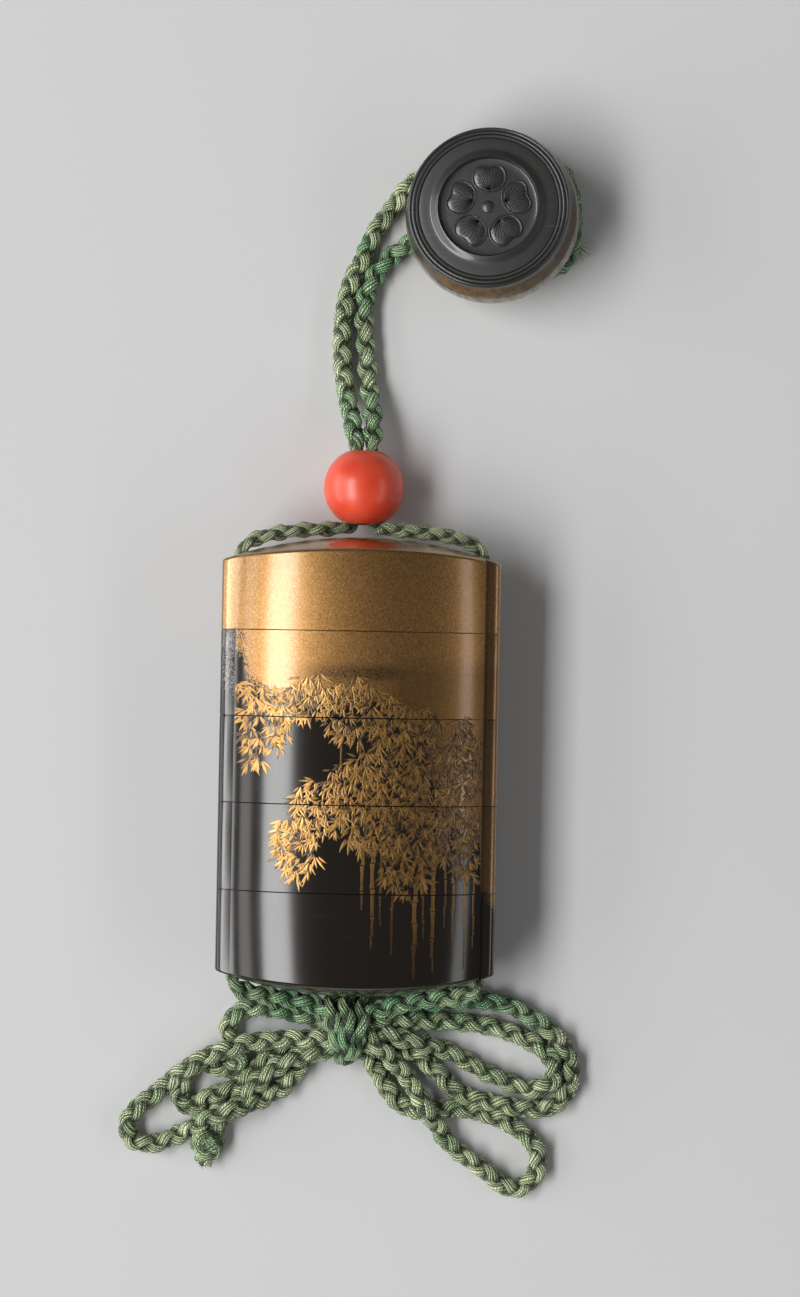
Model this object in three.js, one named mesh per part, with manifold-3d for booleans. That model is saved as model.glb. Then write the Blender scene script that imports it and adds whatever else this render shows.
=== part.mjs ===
// A four-tray inro with its lid, a round slide bead, a two-part round toggle and one silk cord.
// Millimetres, +Z up. The case lies on its back on z = 0 with the lid towards +Y, and the origin
// is the middle of the flat strip that it lies on.
import * as THREE from "three";
import { mergeVertices } from "three/addons/utils/BufferGeometryUtils.js";
import Module from "manifold-3d";

const wasm = await Module();
wasm.setup();

const GAP = 0.3; // between pieces that touch on the real object

// Case section, seen along Y: two shallow elliptical faces between two rounded side ribs.
const CASE_HALF_DEPTH = 12.65;
const CASE_AXIS_Z = 12.35; // less than the half depth, which leaves a flat strip on the back
const FACE_HALF_WIDTH = 24.5; // from the middle to the edge where a face meets the ribs
const FACE_ELLIPSE_HALF_WIDTH = 28;
const RIB_CENTRE_X = 23;
const RIB_HALF_WIDTH = 4.5;
const RIB_HALF_DEPTH = 5.54;
const RIB_EXPONENT = 8; // a flat top that turns into a small rounded corner
const RIB_INCLINE = 0.17; // how fast the flat top falls away outwards
const RIB_START_X = 24.35; // where the rib leaves the groove beside the face
const FACE_STEPS = 16;
const RIB_STEPS = 8;

// Case heights along Y. The seams part the lid and the four trays.
const CASE_TOP = 42.75; // the front edge's middle, and the foot's is as far the other way
const SEAMS = [26.75, 9.85, -7.15, -24.35];
const DOME = { x: 62.45, y: 45.35, z: 36.9 }; // half axes of the ellipsoid that rounds both ends
const DOME_SEGMENTS = 28;
const DOME_RINGS = 24;

// Walls: an outer wall, and inside it a thin riser that stands up into the piece above.
const SOCKET = { halfWidth: 21.5, halfDepth: 11.35 };
const RISER = { halfWidth: SOCKET.halfWidth - GAP, halfDepth: SOCKET.halfDepth - GAP };
const CAVITY = { halfWidth: 20.4, halfDepth: 10.25 };
const ROOM_EXPONENT = 2.6; // superellipse power of the rooms' outlines
const ROOM_STEPS = 24;
const RISER_HEIGHT = 4;
const SOCKET_DEPTH = RISER_HEIGHT + GAP;
const FLOOR = 1.5;
const DOME_WALL = 2;

// Cord channels through the ribs, and the cord's radii.
const CHANNEL_X = 24.1;
const CHANNEL_RADIUS = 1.9;
const CHANNEL_SIDES = 12;
const LOOP_RADIUS = 2;
const TAUT_RADIUS = 1.6;
const CHANNEL_CORD_RADIUS = 1.5;
const BEAD_CORD_RADIUS = 1.25;
const CORD_REST_Z = 2.08; // centre line of a loop that lies on the floor
const CORD_CLEARANCE = 0.4;
const CORD_SIDES = 8;

// Bead
const BEAD_RADIUS = 8;
const BEAD_Y = 55.4;
const BEAD_HOLE_RADIUS = 3.1;
const BEAD_FLAT = 0.06; // depth of the small flat it rests on

// Toggle: depths run from its face down its own axis.
const TOGGLE_CENTRE = { x: 23.5, y: 110.6 }; // of its face, seen from above
const TOGGLE_TILT = THREE.MathUtils.degToRad(8.5);
const TOGGLE_LEAN = THREE.MathUtils.degToRad(146); // the way it leans, from +X
const TOGGLE_RADIUS = 17.4;
const TOGGLE_BELLY_DEPTH = 9; // the depth of its widest ring
const TOGGLE_DEPTH = 16;
const TOGGLE_BASE_RADIUS = 9;
const TOGGLE_PARTING_DEPTH = 6;
const TOGGLE_PARTING_RADIUS = 17;
const TOGGLE_WALL = 2;
const TOGGLE_SIDES = 30;
const MEDALLION_RADIUS = 9.9;
const LEAF_COUNT = 5;

// ---- small helpers -------------------------------------------------------------------------

// The geometry as a manifold solid.
function solid(geometry) {
  const bare = geometry.clone();
  bare.deleteAttribute("normal");
  bare.deleteAttribute("uv");
  const merged = mergeVertices(bare, 1e-4);
  return new wasm.Manifold(
    new wasm.Mesh({
      numProp: 3,
      vertProperties: merged.attributes.position.array,
      triVerts: new Uint32Array(merged.index.array),
    }),
  );
}

// A named mesh of the manifold solid in the given colour.
function piece(name, body, color, roughness) {
  const mesh = body.getMesh();
  const geometry = new THREE.BufferGeometry();
  geometry.setAttribute("position", new THREE.BufferAttribute(mesh.vertProperties, 3));
  geometry.setIndex(new THREE.BufferAttribute(mesh.triVerts, 1));
  geometry.computeVertexNormals();
  const material = new THREE.MeshStandardMaterial({ color, roughness, metalness: 0 });
  const made = new THREE.Mesh(geometry, material);
  made.name = name;
  return made;
}

const union = (bodies) => bodies.reduce((whole, body) => whole.add(body));

// ---- the case ------------------------------------------------------------------------------

// Outline of the case across its length: shape X is the row's X, shape Y is height above the axis.
function caseOutline() {
  const quarter = [];
  for (let i = 0; i <= FACE_STEPS / 2; i++) {
    const x = FACE_HALF_WIDTH * Math.sin((Math.PI / 2) * (i / (FACE_STEPS / 2)));
    const y = CASE_HALF_DEPTH * Math.sqrt(1 - (x / FACE_ELLIPSE_HALF_WIDTH) ** 2);
    quarter.push(new THREE.Vector2(x, y));
  }
  const power = 2 / RIB_EXPONENT;
  const start = Math.acos(((RIB_START_X - RIB_CENTRE_X) / RIB_HALF_WIDTH) ** (1 / power));
  const rib = [];
  for (let i = 0; i <= RIB_STEPS; i++) {
    const angle = start * (1 - (2 * i) / RIB_STEPS);
    const x = RIB_CENTRE_X + RIB_HALF_WIDTH * Math.cos(angle) ** power;
    const height = Math.sign(angle) * Math.abs(Math.sin(angle)) ** power;
    const depth = RIB_HALF_DEPTH - RIB_INCLINE * (x - RIB_START_X);
    rib.push(new THREE.Vector2(x, depth * height));
  }
  const frontRight = quarter.slice();
  const backRight = quarter.map((p) => new THREE.Vector2(p.x, Math.max(-p.y, -CASE_AXIS_Z)));
  backRight.reverse();
  const right = [...frontRight, ...rib, ...backRight];
  const left = right.slice(1, -1).reverse();
  return new THREE.Shape([...right, ...left.map((p) => new THREE.Vector2(-p.x, p.y))]);
}

// Superellipse outline of a room, socket or riser.
function roomOutline({ halfWidth, halfDepth }) {
  const power = 2 / ROOM_EXPONENT;
  const points = [];
  for (let i = 0; i < ROOM_STEPS; i++) {
    const angle = (2 * Math.PI * i) / ROOM_STEPS;
    const c = Math.cos(angle);
    const s = Math.sin(angle);
    const x = halfWidth * Math.sign(c) * Math.abs(c) ** power;
    points.push(new THREE.Vector2(x, halfDepth * Math.sign(s) * Math.abs(s) ** power));
  }
  return new THREE.Shape(points);
}

// The outline run along Y from low to high, centred on the case's axis.
function slab(outline, low, high) {
  const geometry = new THREE.ExtrudeGeometry(outline, { depth: high - low, bevelEnabled: false });
  geometry.rotateX(Math.PI / 2);
  geometry.translate(0, high, CASE_AXIS_Z);
  return solid(geometry);
}

// The ellipsoid that rounds the case's ends, drawn in by the wall for the inner one.
function endDome(wall) {
  const geometry = new THREE.SphereGeometry(1, DOME_SEGMENTS, DOME_RINGS);
  geometry.scale(DOME.x - wall, DOME.y - wall, DOME.z - wall);
  geometry.translate(0, 0, CASE_AXIS_Z);
  return solid(geometry);
}

function channels() {
  return union(
    [-1, 1].map((side) => {
      const length = 2 * DOME.y;
      const hole = new THREE.CylinderGeometry(CHANNEL_RADIUS, CHANNEL_RADIUS, length, CHANNEL_SIDES);
      hole.translate(side * CHANNEL_X, 0, CASE_AXIS_Z);
      return solid(hole);
    }),
  );
}

const bore = channels();
const outerDome = endDome(0);
const innerDome = endDome(DOME_WALL);

// The lid: a hollow cap that the first tray's riser stands up into.
function lid() {
  const low = SEAMS[0] + GAP / 2;
  const body = slab(caseOutline(), low, DOME.y).intersect(outerDome);
  const room = slab(roomOutline(SOCKET), low - 1, DOME.y).intersect(innerDome);
  return body.subtract(room).subtract(bore);
}

// One tray between two seams, with its riser above and the socket for the next riser below.
function tray(index) {
  const high = SEAMS[index] - GAP / 2;
  const last = index === SEAMS.length - 1;
  const low = last ? -DOME.y : SEAMS[index + 1] + GAP / 2;
  const walls = slab(caseOutline(), low, high).intersect(outerDome);
  const riser = slab(roomOutline(RISER), high - 1, high + RISER_HEIGHT);
  const floor = last ? -DOME.y : low + SOCKET_DEPTH + FLOOR;
  let room = slab(roomOutline(CAVITY), floor, high + RISER_HEIGHT + 1);
  if (last) room = room.intersect(innerDome);
  let body = walls.add(riser).subtract(room);
  if (!last) body = body.subtract(slab(roomOutline(SOCKET), low - 1, low + SOCKET_DEPTH));
  return body.subtract(bore);
}

// ---- the bead ------------------------------------------------------------------------------

function bead() {
  const ball = new THREE.SphereGeometry(BEAD_RADIUS, 18, 12);
  const hole = new THREE.CylinderGeometry(BEAD_HOLE_RADIUS, BEAD_HOLE_RADIUS, 3 * BEAD_RADIUS, 10);
  const below = new THREE.BoxGeometry(BEAD_RADIUS, BEAD_RADIUS, BEAD_RADIUS);
  below.translate(0, 0, BEAD_FLAT - 1.5 * BEAD_RADIUS);
  const body = solid(ball).subtract(solid(hole)).subtract(solid(below));
  return body.translate([0, BEAD_Y, BEAD_RADIUS - BEAD_FLAT]);
}

// ---- the toggle ----------------------------------------------------------------------------

const depthPoint = (radius, depth) => new THREE.Vector2(radius, -depth);

// The lower bowl's profile as an arc of an ellipse from the parting to the base.
function bellyArc(drawnIn, steps) {
  const wide = TOGGLE_RADIUS - TOGGLE_BASE_RADIUS;
  const tall = TOGGLE_DEPTH - TOGGLE_BELLY_DEPTH;
  const points = [];
  for (let i = 0; i <= steps; i++) {
    const angle = (Math.PI / 2) * (i / steps);
    const radius = TOGGLE_BASE_RADIUS + (wide - drawnIn) * Math.cos(angle);
    const depth = TOGGLE_BELLY_DEPTH + (tall - drawnIn) * Math.sin(angle);
    points.push(depthPoint(radius, depth));
  }
  return points;
}

// Upper half: raised medallion ring, flat ring, two fine grooves, rolled rim and a wall that widens.
function toggleUpperProfile() {
  const outside = [
    [0, -0.1],
    [9.6, -0.1],
    [9.9, -0.75],
    [10.3, -0.7],
    [11.5, 0],
    [13.8, 0],
    [14.1, 0.4],
    [14.6, 0.4],
    [15, 0],
    [15.4, 0.1],
    [15.9, 0.5],
    [16.05, 1],
    [16.65, 3.2],
    [TOGGLE_PARTING_RADIUS, TOGGLE_PARTING_DEPTH - GAP],
  ];
  const inside = [
    [TOGGLE_PARTING_RADIUS - TOGGLE_WALL, TOGGLE_PARTING_DEPTH - GAP],
    [14.4, 3.2],
    [13, TOGGLE_WALL],
    [0, TOGGLE_WALL],
  ];
  return [...outside, ...inside].map(([radius, depth]) => depthPoint(radius, depth));
}

// Lower half: a shoulder below the parting, the belly, and a flat base, with an even wall.
function toggleLowerProfile() {
  const outside = [
    depthPoint(TOGGLE_PARTING_RADIUS - 0.1, TOGGLE_PARTING_DEPTH),
    depthPoint(17.15, 6.7),
    depthPoint(17.33, 7.8),
    ...bellyArc(0, 6),
    depthPoint(0, TOGGLE_DEPTH),
  ];
  const inside = [
    depthPoint(0, TOGGLE_DEPTH - TOGGLE_WALL),
    ...bellyArc(TOGGLE_WALL, 4).reverse(),
    depthPoint(TOGGLE_PARTING_RADIUS - TOGGLE_WALL, TOGGLE_PARTING_DEPTH),
  ];
  return [...outside, ...inside];
}

// A closed profile spun about the toggle's own axis, which runs up Z with the face at z = 0.
function spun(profile) {
  const ring = [...profile].reverse();
  if (ring[0].x > 0) ring.push(ring[0].clone());
  const geometry = new THREE.LatheGeometry(ring, TOGGLE_SIDES);
  geometry.rotateX(Math.PI / 2);
  return solid(geometry);
}

// One rounded leaf of the medallion's rosette, from its heel near the centre out along +X.
function leafShape() {
  const leaf = new THREE.Shape();
  leaf.moveTo(2.4, 0);
  leaf.bezierCurveTo(3.2, 2.2, 4.4, 3.7, 6.2, 3.4);
  leaf.bezierCurveTo(8.2, 3.1, 9.1, 1.6, 8.1, 0);
  leaf.bezierCurveTo(9.1, -1.6, 8.2, -3.1, 6.2, -3.4);
  leaf.bezierCurveTo(4.4, -3.7, 3.2, -2.2, 2.4, 0);
  return leaf;
}

function rosette() {
  const relief = { depth: 0.3, bevelEnabled: false, curveSegments: 4 };
  const leaves = Array.from({ length: LEAF_COUNT }, (_, i) => {
    const leaf = new THREE.ExtrudeGeometry(leafShape(), relief);
    leaf.rotateZ(Math.PI / 2 + (2 * Math.PI * i) / LEAF_COUNT);
    return solid(leaf);
  });
  const boss = new THREE.CylinderGeometry(1, 1.5, 0.5, 16);
  boss.rotateX(Math.PI / 2);
  boss.translate(0, 0, 0.15);
  return union([...leaves, solid(boss)]);
}

// Turns a solid of the toggle from its own frame to where it lies, leaning on its lower edge.
function laid(body) {
  const axis = new THREE.Vector3(-Math.sin(TOGGLE_LEAN), Math.cos(TOGGLE_LEAN), 0);
  const place = new THREE.Matrix4().makeRotationAxis(axis, TOGGLE_TILT);
  const wide = (TOGGLE_RADIUS - TOGGLE_BASE_RADIUS) * Math.sin(TOGGLE_TILT);
  const tall = (TOGGLE_DEPTH - TOGGLE_BELLY_DEPTH) * Math.cos(TOGGLE_TILT);
  const faceHeight =
    TOGGLE_BELLY_DEPTH * Math.cos(TOGGLE_TILT) +
    TOGGLE_BASE_RADIUS * Math.sin(TOGGLE_TILT) +
    Math.hypot(wide, tall);
  place.setPosition(TOGGLE_CENTRE.x, TOGGLE_CENTRE.y, faceHeight);
  return body.transform(place.elements);
}

// ---- the cord ------------------------------------------------------------------------------

// The cord's whole route in order, from its end inside the bow's knot to the knotted end.
// Each stretch takes up where the one before it ends.
const ROUTE = [
  {
    stretch: "outer right loop",
    radius: LOOP_RADIUS,
    steps: 11,
    points: [
      [-1, -52.5, 3.6], [3.5, -50.5, 3.4], [7.5, -49, 2.5], [14, -48, 1.8], [21.5, -47, 1.8],
      [26.5, -47, 1.8], [31.5, -48, 1.8], [37, -51, 1.8], [41.5, -55, 1.8], [43.8, -60, 1.8],
      [43, -65, 1.8], [40, -68, 1.8], [36, -68.7, 1.8], [31, -68, 1.8], [26, -67, 1.8],
      [21, -65.5, 1.8], [17.5, -62, 1.8], [13, -58.5, 1.8], [9, -56.5, 1.8], [4.5, -55.3, 2.6],
    ],
  },
  {
    stretch: "inner right loop",
    radius: LOOP_RADIUS,
    steps: 9,
    points: [
      [-0.5, -52.8, 4.6], [6, -50.5, 5.2], [13.5, -51.3, 3], [22.5, -51.5, 1.8], [29, -52.5, 1.8],
      [34.5, -54.5, 1.8], [38.5, -57, 2.4], [40.4, -59.7, 3.2], [40, -62.5, 3.2],
      [37.8, -64.3, 2.6], [34.5, -64.4, 1.8], [30.5, -63, 1.8], [25.5, -60.8, 1.8],
      [21.5, -58.5, 1.8], [17, -56.5, 2.5], [12.5, -55.3, 5], [8, -54, 5.5], [3.5, -52.5, 5.2],
    ],
  },
  {
    stretch: "lower right loop",
    radius: LOOP_RADIUS,
    steps: 13,
    points: [
      [0, -54, 5], [2.5, -57.5, 4.2], [4.8, -61.5, 2], [6.8, -65, 1.8], [9.5, -68, 1.8],
      [13, -69.3, 1.8], [17, -69, 1.8], [21.5, -68.8, 1.8], [26, -69.5, 1.8], [31.3, -71.5, 1.8],
      [35, -74, 1.8], [37.2, -77, 1.8], [37.4, -80.5, 1.8], [35.3, -83.6, 1.8], [32, -84.7, 1.8],
      [29, -83, 1.8], [26, -80.5, 1.8], [21.8, -77.7, 1.8], [18.8, -75, 1.8], [17, -72, 3],
      [14.8, -68.8, 5.2], [13.2, -66, 4.4], [11, -62.8, 3.2], [8, -59.3, 4.4], [4.5, -55.5, 6],
    ],
  },
  {
    stretch: "right exit",
    radius: LOOP_RADIUS,
    steps: 5,
    points: [
      [0.5, -51.6, 6.2], [4.6, -48.9, 6.6], [9, -47.3, 7.5], [13.8, -46.3, 8.6], [19, -45.4, 10],
      [22.6, -44.6, 11.5], [24, -42.8, 12.25],
    ],
  },
  {
    stretch: "right channel",
    radius: CHANNEL_CORD_RADIUS,
    steps: 2,
    points: [[CHANNEL_X, -40, CASE_AXIS_Z], [CHANNEL_X, 0, CASE_AXIS_Z], [CHANNEL_X, 40, CASE_AXIS_Z]],
  },
  {
    stretch: "right shoulder",
    radius: TAUT_RADIUS,
    steps: 5,
    points: [
      [23.8, 42.6, 12.35], [21.6, 44.5, 12.35], [17.5, 45.8, 12.1], [11.5, 46.7, 11.4],
      [5.4, 47.2, 9.8], [2.3, 48, 8.6],
    ],
  },
  {
    stretch: "right strand through the bead",
    radius: BEAD_CORD_RADIUS,
    steps: 1,
    points: [[1.4, 50.5, 8], [1.4, 60, 8]],
  },
  {
    stretch: "right strand to the toggle",
    radius: LOOP_RADIUS,
    steps: 5,
    points: [
      [1.5, 64.5, 7.4], [1.4, 71, 4.4], [0.5, 77, 2.4], [0, 82.5, 1.8], [-0.5, 88, 1.8],
      [-0.5, 93, 1.8], [0.5, 96.8, 1.8], [3, 100.5, 1.8], [5.7, 103.3, 2.4], [8.5, 104.8, 4],
    ],
  },
  {
    stretch: "through the toggle",
    radius: LOOP_RADIUS,
    steps: 10,
    points: [
      [12.2, 104.7, 5], [18, 103.5, 5.6], [26, 102.3, 5.6], [31.5, 101, 5], [36, 100.2, 3.2],
      [39.2, 101.7, 1.8], [40.7, 105.3, 1.8], [41, 109.6, 1.8], [40.7, 114.2, 1.8],
      [38.9, 118.9, 1.9], [35.5, 121.2, 3.4], [30, 120.6, 5], [21.5, 119.3, 5.4], [14.5, 118.2, 5.2],
    ],
  },
  {
    stretch: "left strand to the bead",
    radius: LOOP_RADIUS,
    steps: 6,
    points: [
      [9.3, 117.3, 4.3], [7, 115.4, 3], [4.8, 112.2, 2], [2.3, 109, 1.8], [0.3, 105.3, 1.8],
      [-1.3, 101.5, 1.8], [-3.6, 96.5, 1.8], [-4.8, 90.5, 1.8], [-5, 84.5, 1.8], [-4.6, 78.5, 2.2],
      [-3.2, 71, 4.2], [-1.8, 65, 7.2],
    ],
  },
  {
    stretch: "left strand through the bead",
    radius: BEAD_CORD_RADIUS,
    steps: 1,
    points: [[-1.4, 60, 8], [-1.4, 50.5, 8]],
  },
  {
    stretch: "left shoulder",
    radius: TAUT_RADIUS,
    steps: 5,
    points: [
      [-2.3, 48, 8.6], [-5.4, 47.2, 9.8], [-11.5, 46.7, 11.4], [-17.5, 45.8, 12.1],
      [-21.6, 44.5, 12.35], [-23.8, 42.6, 12.35],
    ],
  },
  {
    stretch: "left channel",
    radius: CHANNEL_CORD_RADIUS,
    steps: 2,
    points: [
      [-CHANNEL_X, 40, CASE_AXIS_Z], [-CHANNEL_X, 0, CASE_AXIS_Z], [-CHANNEL_X, -40, CASE_AXIS_Z],
    ],
  },
  {
    stretch: "left exit",
    radius: LOOP_RADIUS,
    steps: 5,
    points: [
      [-24, -42.8, 12.25], [-22.8, -44.6, 11.5], [-20, -45.3, 10.2], [-15, -46.2, 8.5],
      [-10, -47.1, 7.4], [-6, -48.9, 6.5], [-2.2, -51.6, 6],
    ],
  },
  {
    stretch: "long left loop",
    radius: LOOP_RADIUS,
    steps: 13,
    points: [
      [-3.5, -54.3, 5.2], [-6.5, -55, 5], [-11, -55, 5], [-17, -55.4, 5.2], [-21.5, -56, 5.2],
      [-25, -57.2, 5.2], [-30, -59.2, 5], [-33.5, -61.6, 4.6], [-37, -64.5, 2.6], [-40, -67.2, 1.8],
      [-43, -69.6, 1.8], [-45, -72.2, 1.8], [-45.2, -74.8, 1.8], [-43.5, -76.6, 1.8],
      [-40.3, -77, 1.8], [-36, -75.6, 1.8], [-33, -74, 2.4], [-30.3, -72.3, 3.8], [-27.3, -70.4, 5.2],
      [-23.5, -69.2, 5], [-19.5, -68, 3], [-15.8, -66.2, 1.8], [-12.7, -63.7, 1.8],
      [-10.7, -60.7, 1.8], [-8, -58, 2], [-4.5, -55.6, 3],
    ],
  },
  {
    stretch: "upper left loop",
    radius: LOOP_RADIUS,
    steps: 5,
    points: [
      [-2, -52.5, 3.4], [-6, -51.5, 2.4], [-10, -50.6, 1.8], [-14.5, -49.7, 1.8], [-19, -49.2, 1.8],
      [-22.7, -49.9, 1.8], [-25, -52, 1.8], [-25.2, -54.7, 1.8], [-24, -57.2, 1.8],
    ],
  },
  {
    stretch: "small left loop",
    radius: LOOP_RADIUS,
    steps: 9,
    points: [
      [-23, -59.6, 1.8], [-24.2, -61.6, 1.8], [-27, -61.5, 1.8], [-30, -60.6, 1.8],
      [-32.8, -61.8, 1.8], [-34.3, -64.4, 1.8], [-34.8, -67, 1.8], [-33.9, -69.2, 1.8],
      [-31.6, -69.1, 1.8], [-29.5, -67.5, 1.8], [-26, -66.3, 1.8], [-23, -64.8, 1.8],
      [-20.5, -62.8, 1.8], [-18.5, -60.5, 1.8], [-16.3, -58.6, 1.8], [-13, -57.2, 1.8],
      [-8.5, -55.5, 1.9], [-4, -54, 3],
    ],
  },
  {
    stretch: "knotted end",
    radius: LOOP_RADIUS,
    steps: 5,
    points: [
      [-2.5, -55.5, 3.8], [-6, -57.3, 4.4], [-10, -58.3, 4.6], [-13.7, -59.6, 4.6],
      [-17, -62, 4.4], [-20, -64.8, 4.2], [-22.5, -67.3, 3], [-24.8, -69.9, 1.8],
      [-26.6, -72.7, 1.8], [-28.2, -75.2, 2.6],
    ],
  },
];

const BOW_KNOT = { at: [-1.3, -52.8, 4.9], half: [3.7, 5.6, 4.8] };
const END_KNOT = { at: [-28.9, -76.2, 3.3], half: [3.4, 3.6, 3.2] };

const routePoints = ROUTE.flatMap(({ points }) =>
  points.map(([x, y, z]) => new THREE.Vector3(x, y, Math.max(z, CORD_REST_Z))),
);
const wholeRoute = new THREE.CatmullRomCurve3(routePoints, false, "centripetal");

// A stretch of the route between two positions counted in route points.
class Stretch extends THREE.Curve {
  constructor(from, to) {
    super();
    this.from = from;
    this.to = to;
  }

  getPoint(t, target = new THREE.Vector3()) {
    const position = this.from + (this.to - this.from) * t;
    return wholeRoute.getPoint(position / (routePoints.length - 1), target);
  }
}

// The stretch as a tube, reaching a little into its neighbours.
function tube({ from, to, radius, steps }) {
  const reach = 0.2;
  const last = routePoints.length - 1;
  const path = new Stretch(Math.max(0, from - reach), Math.min(last, to + reach));
  const section = new THREE.Shape();
  section.absarc(0, 0, radius, 0, 2 * Math.PI);
  const options = { steps, extrudePath: path, curveSegments: CORD_SIDES / 2, bevelEnabled: false };
  return solid(new THREE.ExtrudeGeometry(section, options));
}

// Where each stretch begins and ends along the route. A stretch reaches the next one's start.
function stretches() {
  let from = 0;
  return ROUTE.map(({ stretch, radius, steps, points }) => {
    const to = Math.min(from + points.length, routePoints.length - 1);
    const made = { stretch, radius, steps, from, to };
    from += points.length;
    return made;
  });
}

const cordStretches = stretches();

// The stretches with neighbours of the same radius joined into one.
function runs() {
  const joined = [];
  for (const stretch of cordStretches) {
    const before = joined.at(-1);
    if (before?.radius === stretch.radius) {
      before.to = stretch.to;
      before.steps += stretch.steps;
    } else {
      joined.push({ ...stretch });
    }
  }
  return joined;
}

function lump({ at, half }) {
  const geometry = new THREE.SphereGeometry(1, 12, 8);
  geometry.scale(...half);
  geometry.translate(...at);
  return solid(geometry);
}

function cord() {
  return union([...runs().map(tube), lump(BOW_KNOT), lump(END_KNOT)]);
}

// The room the cord needs where it passes through a piece. The channels are bored separately.
function cordRoom() {
  const others = runs().filter(({ radius }) => radius !== CHANNEL_CORD_RADIUS);
  return union(others.map((run) => tube({ ...run, radius: run.radius + CORD_CLEARANCE })));
}

// ---- the object ----------------------------------------------------------------------------

const GOLD = 0xb98a3e;
const LACQUER = 0x231f1c;
const CORAL = 0xe2472b;
const DARK_HORN = 0x2b2a29;
const PALE_HORN = 0x8d8672;
const SILK = 0x7f9f6c;

const room = cordRoom();
const toggleUpper = spun(toggleUpperProfile()).add(rosette());
const toggleLower = spun(toggleLowerProfile());

const inro = new THREE.Group();
inro.add(piece("inro_lid", lid().subtract(room), GOLD, 0.35));
SEAMS.forEach((_, index) => {
  inro.add(piece("inro_case_" + (index + 1), tray(index).subtract(room), LACQUER, 0.2));
});
inro.add(piece("ojime_bead", bead().subtract(room), CORAL, 0.25));
inro.add(piece("netsuke_upper", laid(toggleUpper).subtract(room), DARK_HORN, 0.4));
inro.add(piece("netsuke_lower", laid(toggleLower).subtract(room), PALE_HORN, 0.45));
inro.add(piece("silk_cord", cord(), SILK, 0.7));

export default inro;
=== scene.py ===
"""A lacquered inro case on its silk cord, with a coral bead and a two-part horn toggle.

Sizes are in millimetres in the row frame and become metres where a mesh is finished. The case
lies on its back with its lid towards +Y, and its front, with the gold painting, faces +Z.
"""

import logging
import math
import random
from dataclasses import dataclass, field
from enum import Enum
from typing import Callable, Iterable, Sequence

import bmesh
import bpy
import numpy as np
from mathutils import Matrix, Quaternion, Vector


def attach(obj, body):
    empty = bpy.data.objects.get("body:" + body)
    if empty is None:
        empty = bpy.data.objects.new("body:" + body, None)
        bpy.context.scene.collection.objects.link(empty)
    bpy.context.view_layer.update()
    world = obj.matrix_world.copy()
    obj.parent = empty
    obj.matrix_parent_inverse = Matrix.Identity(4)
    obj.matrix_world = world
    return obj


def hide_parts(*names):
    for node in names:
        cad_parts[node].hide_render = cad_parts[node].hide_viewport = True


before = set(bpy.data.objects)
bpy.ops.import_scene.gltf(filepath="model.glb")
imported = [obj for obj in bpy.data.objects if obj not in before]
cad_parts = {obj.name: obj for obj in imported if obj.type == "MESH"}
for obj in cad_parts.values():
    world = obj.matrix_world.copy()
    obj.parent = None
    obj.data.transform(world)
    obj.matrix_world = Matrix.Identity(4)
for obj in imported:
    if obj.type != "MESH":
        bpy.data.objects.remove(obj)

LOG = logging.getLogger("inro")
MM = 0.001
Triple = tuple[float, float, float]
Colour = tuple[float, float, float, float]
Height = float | Callable[[float, float], float]


# ---- shared helpers ----


def as_mesh(name: str, shape: bmesh.types.BMesh) -> bpy.types.Mesh:
    """Turns a bmesh into a mesh.

    Args:
        name: the mesh's name.
        shape: the bmesh, which is freed.

    Returns:
        The mesh.
    """
    mesh = bpy.data.meshes.new(name)
    shape.to_mesh(mesh)
    shape.free()
    return mesh


def link_mesh(name: str, mesh: bpy.types.Mesh) -> bpy.types.Object:
    """Puts a mesh into the scene as an object at the origin.

    Args:
        name: the object's name.
        mesh: the finished mesh, in metres.

    Returns:
        The new object.
    """
    piece = bpy.data.objects.new(name, mesh)
    bpy.context.scene.collection.objects.link(piece)
    return piece


def finish_bmesh(name: str, shape: bmesh.types.BMesh, sharp_degrees: float = 32.0) -> bpy.types.Object:
    """Turns a bmesh in millimetres into a smooth-shaded object in metres.

    Args:
        name: the object's name.
        shape: the bmesh, which is freed.
        sharp_degrees: edges that turn more than this stay sharp.

    Returns:
        The new object.
    """
    shape.transform(Matrix.Scale(MM, 4))
    mesh = as_mesh(name, shape)
    mesh.shade_smooth()
    mesh.set_sharp_from_angle(angle=math.radians(sharp_degrees))
    return link_mesh(name, mesh)


def dress(piece: bpy.types.Object, slot: str, *materials: bpy.types.Material) -> None:
    """Gives a piece its materials and ties it to the root body.

    Args:
        piece: the object.
        slot: a slot name for what it is made of; not used.
        *materials: its materials, by index.
    """
    piece.data.materials.clear()
    for material in materials:
        piece.data.materials.append(material)
    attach(piece, "root")


def carve(piece: bpy.types.Object, cutter: bpy.types.Object) -> None:
    """Cuts one object's shape out of another and applies the result.

    Args:
        piece: the object that is cut.
        cutter: the shape that is taken away.
    """
    cut = piece.modifiers.new("carve", "BOOLEAN")
    cut.operation = "DIFFERENCE"
    cut.solver = "EXACT"
    cut.object = cutter
    depsgraph = bpy.context.evaluated_depsgraph_get()
    carved = bpy.data.meshes.new_from_object(piece.evaluated_get(depsgraph))
    piece.modifiers.remove(cut)
    before = piece.data
    piece.data = carved
    bpy.data.meshes.remove(before)


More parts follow.
